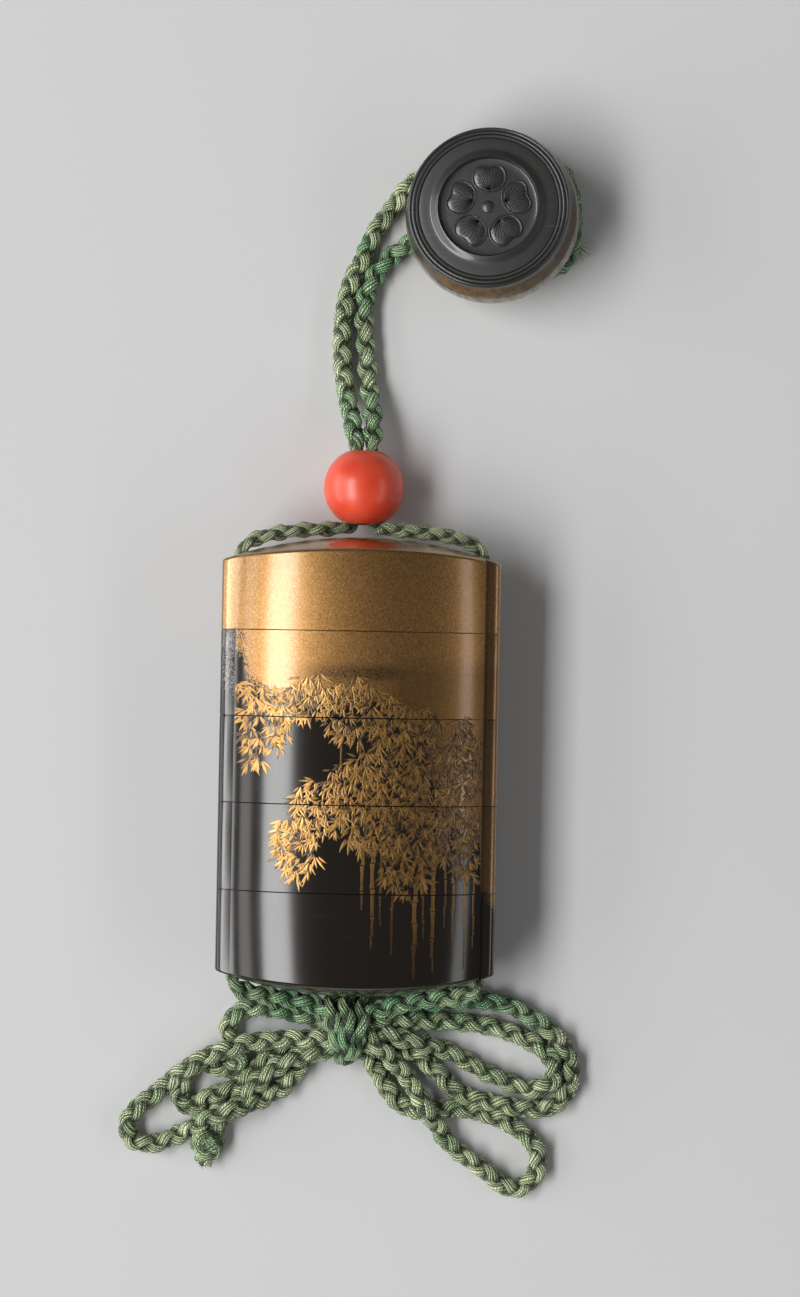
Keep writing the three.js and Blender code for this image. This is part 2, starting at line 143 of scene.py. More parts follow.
class Loft:
    """Grows a closed shell ring by ring from one closed loop of points."""

    def __init__(self, ring: Sequence[Triple]) -> None:
        """Starts the shell with its first ring of points.

        Args:
            ring: the first loop's points.
        """
        self.shape = bmesh.new()
        made = bmesh.ops.create_circle(self.shape, cap_ends=False, segments=len(ring), radius=1.0)
        self.loop: list[bmesh.types.BMVert] = made["verts"]
        self._place(ring)

    def _place(self, ring: Sequence[Triple]) -> None:
        """Moves the open loop's points onto a ring."""
        for vert, point in zip(self.loop, ring):
            vert.co = point

    def _edges(self) -> list[bmesh.types.BMEdge]:
        """The edges round the open loop.

        Returns:
            The edges in order.
        """
        count = len(self.loop)
        edges = []
        for index, vert in enumerate(self.loop):
            after = self.loop[(index + 1) % count]
            edges.append(next(edge for edge in vert.link_edges if edge.other_vert(vert) is after))
        return edges

    def to(self, ring: Sequence[Triple], material: int = 0) -> "Loft":
        """Extrudes the open loop to a new ring.

        Args:
            ring: where the new loop's points go.
            material: the material index of the faces between.

        Returns:
            The loft itself.
        """
        grown = bmesh.ops.extrude_edge_only(self.shape, edges=self._edges())["geom"]
        fresh = {item for item in grown if isinstance(item, bmesh.types.BMVert)}
        for item in grown:
            if isinstance(item, bmesh.types.BMFace):
                item.material_index = material
        self.loop = [
            next(other for edge in vert.link_edges if (other := edge.other_vert(vert)) in fresh)
            for vert in self.loop
        ]
        self._place(ring)
        return self

    def cap(self, material: int = 0) -> "Loft":
        """Closes the open loop with one flat face.

        Args:
            material: the face's material index.

        Returns:
            The loft itself.
        """
        made = bmesh.ops.contextual_create(self.shape, geom=self._edges())
        for face in made["faces"]:
            face.material_index = material
        return self

    def close_at(self, point: Triple, material: int = 0) -> "Loft":
        """Closes the open loop to one point."""
        self.to([point] * len(self.loop), material)
        bmesh.ops.pointmerge(self.shape, verts=self.loop, merge_co=point)
        return self

    def finish(self) -> bmesh.types.BMesh:
        """Returns the shell with its faces pointing outwards."""
        bmesh.ops.recalc_face_normals(self.shape, faces=self.shape.faces)
        return self.shape


class Nodes:
    """Adds nodes to a tree and joins their sockets in one call."""

    def __init__(self, tree: bpy.types.NodeTree) -> None:
        """Starts on a tree."""
        self.tree = tree

    def add(self, kind: str, inputs: dict | None = None, **settings: object) -> bpy.types.Node:
        """Adds one node.

        Args:
            kind: the node's type name without its leading ShaderNode.
            inputs: values or sockets by input name or index.
            **settings: properties set on the node.

        Returns:
            The new node.
        """
        node = self.tree.nodes.new("ShaderNode" + kind)
        for key, value in settings.items():
            setattr(node, key, value)
        self.fill(node, inputs or {})
        return node

    def fill(self, node: bpy.types.Node, values: dict) -> None:
        """Sets or links a node's inputs by name or index.

        Args:
            node: the node.
            values: values or sockets by input.
        """
        for key, value in values.items():
            if isinstance(value, bpy.types.NodeSocket):
                self.tree.links.new(value, node.inputs[key])
            else:
                node.inputs[key].default_value = value

    def math(self, operation: str, *values: object, clamp: bool = False) -> bpy.types.NodeSocket:
        """The result of one Math node."""
        inputs = dict(enumerate(values))
        return self.add("Math", inputs, operation=operation, use_clamp=clamp).outputs[0]

    def blend(self, factor: object, low: object, high: object, mode: str = "MIX") -> bpy.types.NodeSocket:
        """The colour between two colours."""
        inputs = {0: factor, 6: low, 7: high}
        return self.add("Mix", inputs, data_type="RGBA", blend_type=mode).outputs[2]

    def remap(
        self, value: object, low: object, high: object, to_low: object = 0.0, to_high: object = 1.0,
    ) -> bpy.types.NodeSocket:
        """A value eased from one range into another."""
        inputs = {0: value, 1: low, 2: high, 3: to_low, 4: to_high}
        return self.add("MapRange", inputs, interpolation_type="SMOOTHSTEP").outputs[0]

    def curve(self, value: object, points: Sequence[tuple[float, float]]) -> bpy.types.NodeSocket:
        """A value from 0 to 1 looked up on straight lines between points.

        Args:
            value: the value, from 0 to 1.
            points: position and level pairs, from 0 to 1.

        Returns:
            The level.
        """
        ramp = self.add("ValToRGB", {0: value})
        stops = ramp.color_ramp.elements
        stops[0].position, stops[-1].position = points[0][0], points[-1][0]
        for position, _ in points[1:-1]:
            stops.new(position)
        for stop, (_, level) in zip(stops, points):
            stop.color = (level, level, level, 1.0)
        return self.add("SeparateColor", {0: ramp.outputs[0]}).outputs[0]

    def place(self) -> tuple[bpy.types.NodeSocket, ...]:
        """Object coordinates: the vector in metres, then X, Y and Z in millimetres."""
        vector = self.add("TexCoord").outputs["Object"]
        parts = self.add("SeparateXYZ", {0: vector}).outputs
        return (vector, *(self.math("MULTIPLY", part, 1 / MM) for part in parts))

    def noise(self, vector: object, scale: float, detail: float = 2.0) -> bpy.types.NodeSocket:
        """A smooth noise value."""
        inputs = {"Vector": vector, "Scale": scale, "Detail": detail}
        return self.add("TexNoise", inputs).outputs[0]

    def bump(self, height: object, distance: float, strength: float = 1.0) -> bpy.types.NodeSocket:
        """A normal tilted by a height."""
        inputs = {"Height": height, "Distance": distance, "Strength": strength}
        return self.add("Bump", inputs).outputs[0]

    def effect(self, tree: bpy.types.NodeTree, inputs: dict) -> bpy.types.Node:
        """A shared effect placed in this tree with its own values."""
        return self.add("Group", inputs, node_tree=tree)


def new_effect(
    name: str, inputs: Iterable[tuple[str, str, object]], outputs: Iterable[tuple[str, str]],
) -> tuple[bpy.types.NodeTree, Nodes, bpy.types.bpy_prop_collection, bpy.types.Node]:
    """Makes an empty shared node group.

    Args:
        name: the group's name.
        inputs: each input's name, kind (Float, Color or Vector) and starting value.
        outputs: each output's name and kind.

    Returns:
        The group's tree, its node helper, its input node's sockets and its output node.
    """
    tree = bpy.data.node_groups.new(name, "ShaderNodeTree")
    for label, kind, value in inputs:
        socket = tree.interface.new_socket(label, in_out="INPUT", socket_type="NodeSocket" + kind)
        if value is not None:
            socket.default_value = value
    for label, kind in outputs:
        tree.interface.new_socket(label, in_out="OUTPUT", socket_type="NodeSocket" + kind)
    given = tree.nodes.new("NodeGroupInput").outputs
    result = tree.nodes.new("NodeGroupOutput")
    return tree, Nodes(tree), given, result


class Effects:
    """The effects that several finishes share, each built once."""

    def __init__(self) -> None:
        """Builds every shared effect."""
        self.powder = self._powder()
        self.hairlines = self._hairlines()

    @staticmethod
    def _powder() -> bpy.types.NodeTree:
        """Metal powder strewn over lacquer: a mask of grains and how each one catches light.

        Returns:
            The node group.
        """
        tree, nodes, given, result = new_effect(
            "strewn powder",
            [("Vector", "Vector", None), ("Grains per Metre", "Float", 5200.0), ("Cover", "Float", 0.5)],
            [("Mask", "Float"), ("Glint", "Float"), ("Height", "Float")],
        )
        cells = nodes.add("TexVoronoi", {"Vector": given[0], "Scale": given[1]})
        chance = nodes.add("SeparateColor", {0: cells.outputs["Color"]})
        clumps = nodes.noise(given[0], 900.0, 3.0)
        offset = nodes.math("MULTIPLY_ADD", clumps, 0.3, -0.15)
        level = nodes.math("ADD", chance.outputs[0], offset)
        reach = nodes.math("MULTIPLY_ADD", given[2], 1.6, -0.3)
        soft = nodes.math("SUBTRACT", reach, level)
        mask = nodes.remap(soft, -0.08, 0.08)
        nodes.tree.links.new(mask, result.inputs["Mask"])
        nodes.tree.links.new(chance.outputs[1], result.inputs["Glint"])
        height = nodes.math("MULTIPLY", mask, chance.outputs[2])
        nodes.tree.links.new(height, result.inputs["Height"])
        return tree

    @staticmethod
    def _hairlines() -> bpy.types.NodeTree:
        """Fine scratches and rubbed patches from handling.

        Returns:
            The node group.
        """
        tree, nodes, given, result = new_effect(
            "handling marks",
            [("Vector", "Vector", None), ("Amount", "Float", 0.5)],
            [("Mask", "Float"), ("Haze", "Float")],
        )
        lines = []
        for turn, stretch in ((0.5, 70.0), (2.2, 90.0)):
            turned = nodes.add(
                "Mapping",
                {"Vector": given[0], "Rotation": (0.0, 0.0, turn), "Scale": (stretch, 2600.0, 400.0)},
            )
            noise = nodes.noise(turned.outputs[0], 1.0, 1.0)
            lines.append(nodes.remap(noise, 0.74, 0.8))
        both = nodes.math("MAXIMUM", *lines)
        patches = nodes.remap(nodes.noise(given[0], 120.0, 3.0), 0.4, 0.7)
        mask = nodes.math("MULTIPLY", nodes.math("MULTIPLY", both, patches), given[1])
        nodes.tree.links.new(mask, result.inputs["Mask"])
        haze = nodes.math("MULTIPLY", nodes.noise(given[0], 55.0, 4.0), given[1])
        nodes.tree.links.new(haze, result.inputs["Haze"])
        return tree


def new_material(name: str) -> tuple[bpy.types.Material, Nodes, bpy.types.Node]:
    """Makes an empty node material.

    Args:
        name: the material's name.

    Returns:
        The material, its node helper and its Principled shader.
    """
    material = bpy.data.materials.new(name)
    material.use_nodes = True
    tree = material.node_tree
    tree.nodes.clear()
    nodes = Nodes(tree)
    shader = nodes.add("BsdfPrincipled")
    nodes.add("OutputMaterial", {"Surface": shader.outputs[0]})
    return material, nodes, shader


# ---- finishes ----


@dataclass(frozen=True)
class PaintedLacquer:
    """Black-brown lacquer under strewn gold that is solid on the lid and thins out downwards."""

    lacquer: Colour = (0.0105, 0.0078, 0.0055, 1.0)
    gold: Colour = (0.25, 0.117, 0.026, 1.0)
    pale_gold: Colour = (0.39, 0.224, 0.082, 1.0)
    dull_gold: Colour = (0.13, 0.065, 0.02, 1.0)
    # painted shade colour for the top of the right rib, beside the face
    groove_shade_gold: Colour = (0.06, 0.03, 0.012, 1.0)
    silver: Colour = (0.1, 0.094, 0.086, 1.0)
    scratch: Colour = (0.05, 0.04, 0.032, 1.0)
    half_width: float = 27.5
    rib_x: float = 24.5
    lid_seam: float = 26.75
    mist_y: float = 18.6
    foot_reach: float = 50.0
    gold_foot: tuple[tuple[float, float], ...] = (
        (-27.5, 26.0), (-24.4, 23.0), (-22.5, 15.0), (-20.5, 12.5), (-17.0, 11.0), (-9.0, 11.0),
        (2.0, 10.5), (7.0, 8.5), (13.0, 2.0), (17.0, -16.0), (24.2, -23.0), (24.5, -27.0), (27.5, -30.0),
    )

    def _mist(self, nodes: Nodes, x: bpy.types.NodeSocket, y: bpy.types.NodeSocket) -> bpy.types.NodeSocket:
        """A faint darker band across the gold, just above the leaves."""
        away = nodes.math("ABSOLUTE", nodes.math("SUBTRACT", y, self.mist_y))
        band = nodes.math("MULTIPLY", nodes.remap(away, 2.6, 0.4), nodes.remap(x, -16.0, -4.0))
        return nodes.math("MULTIPLY", band, nodes.remap(x, 19.0, 4.0))

    def _strewn(self, nodes: Nodes, vector: object, x: object, y: object) -> bpy.types.NodeSocket:
        """How thickly the powder lies above its wandering foot, thinner to the left.

        Args:
            nodes: the material's nodes.
            vector: object coordinates in metres.
            x: X in millimetres.
            y: Y in millimetres.

        Returns:
            The cover, from 0 to 1.
        """
        across = nodes.add("MapRange", {0: x, 1: -self.half_width, 2: self.half_width}).outputs[0]
        span = 2 * self.foot_reach
        stops = [
            ((at + self.half_width) / (2 * self.half_width), (low + self.foot_reach) / span)
            for at, low in self.gold_foot
        ]
        foot = nodes.math("MULTIPLY_ADD", nodes.curve(across, stops), span, -self.foot_reach)
        wander = nodes.math("MULTIPLY_ADD", nodes.noise(vector, 140.0, 3.0), 6.0, -3.0)
        foot = nodes.math("ADD", foot, wander)
        right_rib = nodes.remap(x, self.rib_x - 0.4, self.rib_x, 1.0, 0.3)
        fade = nodes.math("MULTIPLY", nodes.remap(x, 4.0, 22.0, 7.0, 18.0), right_rib)
        thin = nodes.remap(x, -self.rib_x, -17.5, 0.66, 1.0)
        return nodes.math("MULTIPLY", nodes.remap(y, foot, nodes.math("ADD", foot, fade)), thin)

    def build(self, effects: Effects) -> bpy.types.Material:
        """Makes the material.

        Args:
            effects: the shared effects.

        Returns:
            The material.
        """
        material, nodes, shader = new_material("painted lacquer")
        vector, x, y, _ = nodes.place()
        mist = self._mist(nodes, x, y)
        cover = self._strewn(nodes, vector, x, y)
        cover = nodes.math("MULTIPLY", cover, nodes.math("MULTIPLY_ADD", mist, -0.3, 1.0))
        thinner = nodes.remap(x, -25.0, -17.0, 0.62, 1.0)
        over_seam = nodes.math("MULTIPLY", nodes.remap(y, 19.5, 24.0), thinner)
        cover = nodes.math("MAXIMUM", cover, over_seam)
        below_lid = nodes.remap(y, self.lid_seam + 0.05, self.lid_seam - 0.15)
        left_rib = nodes.math("MULTIPLY", nodes.remap(x, 0.4 - self.rib_x, -self.rib_x), below_lid)
        dusted = nodes.math("MULTIPLY", left_rib, nodes.remap(y, 8.0, 18.0, 0.0, 0.38))
        cover = nodes.math("MAXIMUM", cover, dusted)
        cover = nodes.math("MAXIMUM", cover, nodes.remap(y, self.lid_seam - 0.25, self.lid_seam + 0.25))
        # the top of the right rib beside the face: its powder is thinned a little, and further down its gold
        # is darkened as painted shade
        groove = nodes.math("MULTIPLY", nodes.remap(x, 24.2, 24.5), nodes.remap(x, 26.6, 26.1))
        cover = nodes.math("MULTIPLY", cover, nodes.math("MULTIPLY_ADD", groove, -0.14, 1.0))
        grains = {"Vector": vector, "Grains per Metre": 6200.0, "Cover": cover}
        powder = nodes.effect(effects.powder, grains)
        glint = powder.outputs["Glint"]
        marks = nodes.effect(effects.hairlines, {"Vector": vector, "Amount": 0.5})
        tone = nodes.blend(nodes.remap(glint, 0.25, 1.0), self.gold, self.pale_gold)
        dull = nodes.math("MULTIPLY", nodes.remap(x, 3.0, 9.0), nodes.remap(y, 23.0, 18.0))
        dull = nodes.math("MAXIMUM", nodes.math("MULTIPLY", dull, 0.5), nodes.math("MULTIPLY", mist, 0.75))
        tone = nodes.blend(dull, tone, self.dull_gold)
        # painted shade: the gold on the top of the right rib is darkened
        tone = nodes.blend(nodes.math("MULTIPLY", groove, 0.65), tone, self.groove_shade_gold)
        tone = nodes.blend(left_rib, tone, self.silver)
        mask = powder.outputs["Mask"]
        ground = nodes.blend(marks.outputs["Mask"], self.lacquer, self.scratch)
        rough = nodes.math("MULTIPLY_ADD", marks.outputs["Haze"], 0.14, 0.12)
        gold_rough = nodes.math("MULTIPLY_ADD", glint, 0.06, 0.34)
        mixed_rough = nodes.math("MULTIPLY_ADD", mask, nodes.math("SUBTRACT", gold_rough, rough), rough)
        scratched = nodes.math("MULTIPLY", marks.outputs["Mask"], -0.4)
        height = nodes.math("ADD", powder.outputs["Height"], scratched)
        nodes.fill(shader, {
            "Base Color": nodes.blend(mask, ground, tone),
            "Metallic": nodes.math("MULTIPLY", mask, 0.92),
            "Roughness": mixed_rough,
            "Normal": nodes.bump(height, 0.00003, 0.3),
            "IOR": 1.53,
            "Coat Weight": mask,
            "Coat Roughness": 0.18,
        })
        return material


@dataclass(frozen=True)
class WornEdge:
    """The rim of a section, where the lacquer has worn to a warm brown line."""

    colour: Colour = (0.17, 0.075, 0.028, 1.0)
    bare: Colour = (0.8, 0.36, 0.22, 1.0)
    gilt: Colour = (0.8, 0.55, 0.26, 1.0)

    def build(self, effects: Effects) -> bpy.types.Material:
        """Makes the material.

        Args:
            effects: the shared effects; not used.

        Returns:
            The material.
        """
        material, nodes, shader = new_material("worn lacquer edge")
        vector, _, y, _ = nodes.place()
        patch = nodes.remap(nodes.noise(vector, 180.0, 3.0), 0.36, 0.54)
        low = nodes.remap(y, -38.0, -41.5)
        high = nodes.remap(y, 38.0, 41.5)
        tone = nodes.blend(nodes.math("MULTIPLY", patch, low), self.colour, self.bare)
        tone = nodes.blend(high, tone, self.gilt)
        nodes.fill(shader, {
            "Base Color": tone,
            "Metallic": nodes.math("MULTIPLY", high, 0.9),
            "Roughness": nodes.math("MULTIPLY_ADD", patch, 0.15, 0.26),
            "Specular IOR Level": nodes.math("MULTIPLY_ADD", low, -0.4, 0.5),
        })
        return material


@dataclass(frozen=True)
class PowderedInside:
    """Red-brown lacquer with a sparse strewing of gold, as the rooms and risers have."""

    ground: Colour = (0.09, 0.026, 0.01, 1.0)
    gold: Colour = (0.7, 0.45, 0.16, 1.0)

    def build(self, effects: Effects) -> bpy.types.Material:
        """Makes the material.

        Args:
            effects: the shared effects.

        Returns:
            The material.
        """
        material, nodes, shader = new_material("powdered inside lacquer")
        vector = nodes.place()[0]
        powder = nodes.effect(effects.powder, {"Vector": vector, "Grains per Metre": 2400.0, "Cover": 0.35})
        mask = powder.outputs["Mask"]
        nodes.fill(shader, {
            "Base Color": nodes.blend(mask, self.ground, self.gold),
            "Metallic": nodes.math("MULTIPLY", mask, 0.9),
            "Roughness": nodes.math("MULTIPLY_ADD", powder.outputs["Glint"], 0.2, 0.22),
        })
        return material


@dataclass(frozen=True)
class RaisedGold:
    """Gold laid over raised lacquer for leaves and canes, with each stroke's own tone."""

    deep: Colour = (0.05, 0.026, 0.01, 1.0)
    bright: Colour = (0.5, 0.266, 0.066, 1.0)

    def build(self, effects: Effects) -> bpy.types.Material:
        """Makes the material.

        Args:
            effects: the shared effects.

        Returns:
            The material.
        """
        material, nodes, shader = new_material("raised gold")
        vector, _, y, _ = nodes.place()
        # the tone also carries painted shade along each leaf's outline
        tone = nodes.add("Attribute", attribute_name="tone").outputs["Fac"]
        tone = nodes.math("MULTIPLY", tone, nodes.remap(y, -41.0, -24.0, 0.3, 1.0))
        grain = nodes.effect(effects.powder, {"Vector": vector, "Grains per Metre": 5200.0, "Cover": 0.75})
        level = nodes.math("MULTIPLY_ADD", grain.outputs["Glint"], 0.22, -0.11)
        nodes.fill(shader, {
            "Base Color": nodes.blend(nodes.math("ADD", tone, level, clamp=True), self.deep, self.bright),
            "Metallic": nodes.math("MULTIPLY_ADD", tone, 0.25, 0.65),
            "Roughness": nodes.math("MULTIPLY_ADD", grain.outputs["Glint"], 0.12, 0.34),
            "Coat Weight": 0.4,
            "Coat Roughness": 0.22,
            "Normal": nodes.bump(grain.outputs["Height"], 0.00002, 0.4),
        })
        return material


@dataclass(frozen=True)
class Coral:
    """Polished red coral with faint growth bands and paler clouds."""

    red: Colour = (0.64, 0.048, 0.017, 1.0)
    pale: Colour = (0.78, 0.1, 0.045, 1.0)

    def build(self, effects: Effects) -> bpy.types.Material:
        """Makes the material.

        Args:
            effects: the shared effects.

        Returns:
            The material.
        """
        material, nodes, shader = new_material("polished coral")
        vector = nodes.place()[0]
        clouds = nodes.remap(nodes.noise(vector, 150.0, 3.0), 0.35, 0.7)
        stretched = nodes.add("Mapping", {"Vector": vector, "Scale": (300.0, 2200.0, 300.0)})
        bands = nodes.noise(stretched.outputs[0], 1.0, 2.0)
        marks = nodes.effect(effects.hairlines, {"Vector": vector, "Amount": 0.4})
        tone = nodes.math("MULTIPLY_ADD", bands, 0.25, nodes.math("MULTIPLY", clouds, 0.6))
        nodes.fill(shader, {
            "Base Color": nodes.blend(tone, self.red, self.pale),
            "Roughness": nodes.math("MULTIPLY_ADD", marks.outputs["Haze"], 0.15, 0.32),
            "Subsurface Weight": 0.12,
            "Subsurface Radius": (0.9, 0.25, 0.12),
            "Subsurface Scale": 0.0008,
            "Normal": nodes.bump(marks.outputs["Mask"], 0.00001, 0.2),
            "Coat Weight": 0.15,
            "Coat Roughness": 0.26,
        })
        return material


class HornTone(Enum):
    """Which half of the toggle a horn finish is for."""

    DARK = "dark"
    PALE = "pale"


@dataclass(frozen=True)
class Horn:
    """Carved buffalo horn, near black on the face and streaked olive-grey below.

    The finish measures depth down from the toggle's face: `up` is the face's normal and `face`
    how far along it the face lies, in millimetres.
    """

    tone: HornTone
    up: Triple
    face: float
    black: Colour = (0.008, 0.008, 0.0078, 1.0)
    rubbed: Colour = (0.024, 0.0235, 0.0215, 1.0)
    scratch: Colour = (0.14, 0.13, 0.12, 1.0)
    amber: Colour = (0.15, 0.078, 0.009, 1.0)
    brown: Colour = (0.058, 0.03, 0.005, 1.0)
    # painted shade colour for the amber's right side, away from the light
    shaded_amber: Colour = (0.02, 0.009, 0.004, 1.0)
    bone: Colour = (0.22, 0.175, 0.098, 1.0)
    olive: Colour = (0.08, 0.062, 0.034, 1.0)
    stain: Colour = (0.03, 0.025, 0.018, 1.0)

    def _amber_band(self, nodes: Nodes, vector: object, clouds: object) -> bpy.types.NodeSocket:
        """Where the dark half turns amber: below its rim, on the side towards the case.

        Args:
            nodes: the material's nodes.
            vector: object coordinates in metres.
            clouds: the noise that breaks the band up.

        Returns:
            The band's mask.
        """
        _, x, y, _ = nodes.place()
        amber_side = nodes.math("ADD", nodes.math("MULTIPLY", x, 0.55), nodes.math("MULTIPLY", y, -0.9))
        side = nodes.remap(amber_side, -87.0, -75.0)
        along = nodes.add("VectorMath", {0: vector, 1: self.up}, operation="DOT_PRODUCT").outputs["Value"]
        depth = nodes.math("MULTIPLY_ADD", along, -1 / MM, self.face)
        low = nodes.remap(depth, 0.6, 1.8)
        return nodes.math("MULTIPLY", nodes.math("MULTIPLY", side, low), nodes.remap(clouds, 0.24, 0.46))

    def build(self, effects: Effects) -> bpy.types.Material:
        """Makes the material.

        Args:
            effects: the shared effects.

        Returns:
            The material.
        """
        material, nodes, shader = new_material(self.tone.value + " horn")
        vector, x, _, _ = nodes.place()
        turned = nodes.add("Mapping", {
            "Vector": vector, "Rotation": (0.3, 0.15, 0.6), "Scale": (900.0, 90.0, 500.0),
        })
        streak = nodes.remap(nodes.noise(turned.outputs[0], 1.0, 4.0), 0.36, 0.68)
        clouds = nodes.noise(vector, 90.0, 3.0)
        marks = nodes.effect(effects.hairlines, {"Vector": vector, "Amount": 0.8})
        if self.tone is HornTone.DARK:
            band = self._amber_band(nodes, vector, clouds)
            warm = nodes.blend(streak, self.amber, self.brown)
            # painted shade: the amber darkens towards the right side, away from the light
            warm = nodes.blend(nodes.remap(x, 27.0, 39.0, 0.0, 0.75), warm, self.shaded_amber)
            base = nodes.blend(band, nodes.blend(clouds, self.black, self.rubbed), warm)
            base = nodes.blend(marks.outputs["Mask"], base, self.scratch)
            rough = nodes.math("MULTIPLY_ADD", marks.outputs["Haze"], 0.2, 0.37)
        else:
            band = 0.0
            pale = nodes.blend(streak, self.bone, self.olive)
            base = nodes.blend(nodes.remap(clouds, 0.56, 0.74), pale, self.stain)
            rough = nodes.math("MULTIPLY_ADD", streak, 0.12, 0.24)
        relief = nodes.math("MULTIPLY_ADD", marks.outputs["Mask"], -0.5, nodes.math("MULTIPLY", streak, 0.3))
        nodes.fill(shader, {
            "Base Color": base,
            "Roughness": rough,
            "Normal": nodes.bump(relief, 0.00004, 0.35),
            "Subsurface Weight": 0.05 if self.tone is HornTone.PALE else 0.0,
            "Subsurface Scale": 0.0006,
            "IOR": 1.54,
            "Specular IOR Level": nodes.math("MULTIPLY_ADD", band, -0.3, 0.5),
            "Coat Weight": nodes.math("MULTIPLY_ADD", band, -0.5, 0.5),
            "Coat Roughness": 0.13,
        })
        return material


@dataclass(frozen=True)
class Silk:
    """Glossy silk yarn laid in fine threads, faded olive on the loops and greener where it rubs."""

    faded: Colour = (0.52, 0.59, 0.3, 1.0)
    olive: Colour = (0.2, 0.28, 0.105, 1.0)
    green: Colour = (0.032, 0.24, 0.09, 1.0)
    # painted highlight colours for the crests of the plies: pale, and greener on the green silk
    glint: Colour = (0.86, 0.95, 0.66, 1.0)
    green_painted_highlight: Colour = (0.36, 0.76, 0.4, 1.0)
    shade: Colour = (0.02, 0.032, 0.014, 1.0)
    # painted shade colour for the grooves between threads
    between: Colour = (0.02, 0.034, 0.012, 1.0)
    threads: float = 11.0
    twist: float = 22.0

    def build(self, effects: Effects) -> bpy.types.Material:
        """Makes the material.

        Args:
            effects: the shared effects; not used.

        Returns:
            The material.
        """
        material, nodes, shader = new_material("silk yarn")
        vector = nodes.place()[0]
        uv = nodes.add("UVMap", uv_map="threads").outputs[0]
        along, round_yarn, _ = nodes.add("SeparateXYZ", {0: uv}).outputs
        wander = nodes.add("Mapping", {"Vector": uv, "Scale": (2.2, 4.0, 1.0)})
        wander = nodes.noise(wander.outputs[0], 1.0, 2.0)
        thread = nodes.math("MULTIPLY_ADD", round_yarn, self.threads, nodes.math("MULTIPLY", wander, 2.4))
        line = nodes.math("ABSOLUTE", nodes.math("SINE", nodes.math("MULTIPLY", thread, math.pi)))
        twist = nodes.math("ADD", nodes.math("MULTIPLY", along, self.twist), thread)
        ply = nodes.math("SINE", nodes.math("MULTIPLY", twist, 2 * math.pi))
        tint = nodes.add("Attribute", attribute_name="tint").outputs["Fac"]
        depth = nodes.add("Attribute", attribute_name="depth").outputs["Fac"]
        patches = nodes.remap(nodes.noise(vector, 160.0, 3.0), 0.36, 0.66)
        body = nodes.blend(patches, self.olive, self.faded)
        body = nodes.blend(nodes.math("MULTIPLY_ADD", patches, -0.25, tint, clamp=True), body, self.green)
        # painted shade: the grooves between the threads are darkened
        dark = nodes.remap(line, 0.8, 0.15)
        # painted highlight: a paler colour along the crests of the twisted plies, away from the grooves
        painted_highlight = nodes.math("MULTIPLY", nodes.remap(ply, -0.2, 0.7), nodes.remap(line, 0.4, 0.9))
        glint = nodes.blend(nodes.math("MULTIPLY", tint, 0.8), self.glint, self.green_painted_highlight)
        body = nodes.blend(nodes.math("MULTIPLY", painted_highlight, 0.95), body, glint)
        body = nodes.blend(nodes.math("MULTIPLY", dark, 0.85), body, self.between)
        body = nodes.blend(nodes.remap(depth, 0.2, 0.75, 0.0, 0.85), body, self.shade)
        relief = nodes.math("MULTIPLY_ADD", ply, 0.2, line)
        nodes.fill(shader, {
            "Base Color": body,
            "Roughness": nodes.math("MULTIPLY_ADD", line, -0.08, 0.4),
            "Sheen Weight": 0.06,
            "Sheen Roughness": 0.4,
            "Normal": nodes.bump(relief, 0.0003, 1.0),
        })
        return material


@dataclass(frozen=True)
class StudioPaper:
    """The pale grey sheet that the object lies on."""

    grey: Colour = (0.59, 0.59, 0.59, 1.0)
    fleck: Colour = (0.5, 0.5, 0.5, 1.0)

    def build(self, effects: Effects) -> bpy.types.Material:
        """Makes the material.

        Args:
            effects: the shared effects; not used.

        Returns:
            The material.
        """
        material, nodes, shader = new_material("studio paper")
        vector = nodes.place()[0]
        grain = nodes.noise(vector, 900.0, 2.0)
        nodes.fill(shader, {
            "Base Color": nodes.blend(nodes.math("MULTIPLY", grain, 0.05), self.grey, self.fleck),
            "Roughness": 0.85,
        })
        return material


# ---- the cord ----


def smooth_route(points: Sequence[Triple], step: float) -> list[Vector]:
    """A smooth line through points.

    Args:
        points: the points that the line goes through.
        step: about how far apart the line's own points are.

    Returns:
        Evenly spaced points along the line.
    """
    given = [Vector(point) for point in points]
    padded = [given[0] * 2 - given[1], *given, given[-1] * 2 - given[-2]]
    dense = [given[0]]
    for index in range(len(given) - 1):
        a, b, c, d = padded[index:index + 4]
        ta = 0.0
        tb = ta + max((b - a).length, 1e-4) ** 0.5
        tc = tb + max((c - b).length, 1e-4) ** 0.5
        td = tc + max((d - c).length, 1e-4) ** 0.5
        count = max(2, round((c - b).length / (0.4 * step)))
        for part in range(1, count + 1):
            t = tb + (tc - tb) * part / count
            ab = a * ((tb - t) / (tb - ta)) + b * ((t - ta) / (tb - ta))
            bc = b * ((tc - t) / (tc - tb)) + c * ((t - tb) / (tc - tb))
            cd = c * ((td - t) / (td - tc)) + d * ((t - tc) / (td - tc))
            abc = ab * ((tc - t) / (tc - ta)) + bc * ((t - ta) / (tc - ta))
            bcd = bc * ((td - t) / (td - tb)) + cd * ((t - tb) / (td - tb))
            dense.append(abc * ((tc - t) / (tc - tb)) + bcd * ((t - tb) / (tc - tb)))
    lengths = [0.0]
    for before, after in zip(dense, dense[1:]):
        lengths.append(lengths[-1] + (after - before).length)
    count = max(2, round(lengths[-1] / step))
    even, at = [], 0
    for index in range(count + 1):
        target = lengths[-1] * index / count
        while at < len(lengths) - 2 and lengths[at + 1] < target:
            at += 1
        span = max(lengths[at + 1] - lengths[at], 1e-9)
        even.append(dense[at].lerp(dense[at + 1], min(1.0, (target - lengths[at]) / span)))
    return even


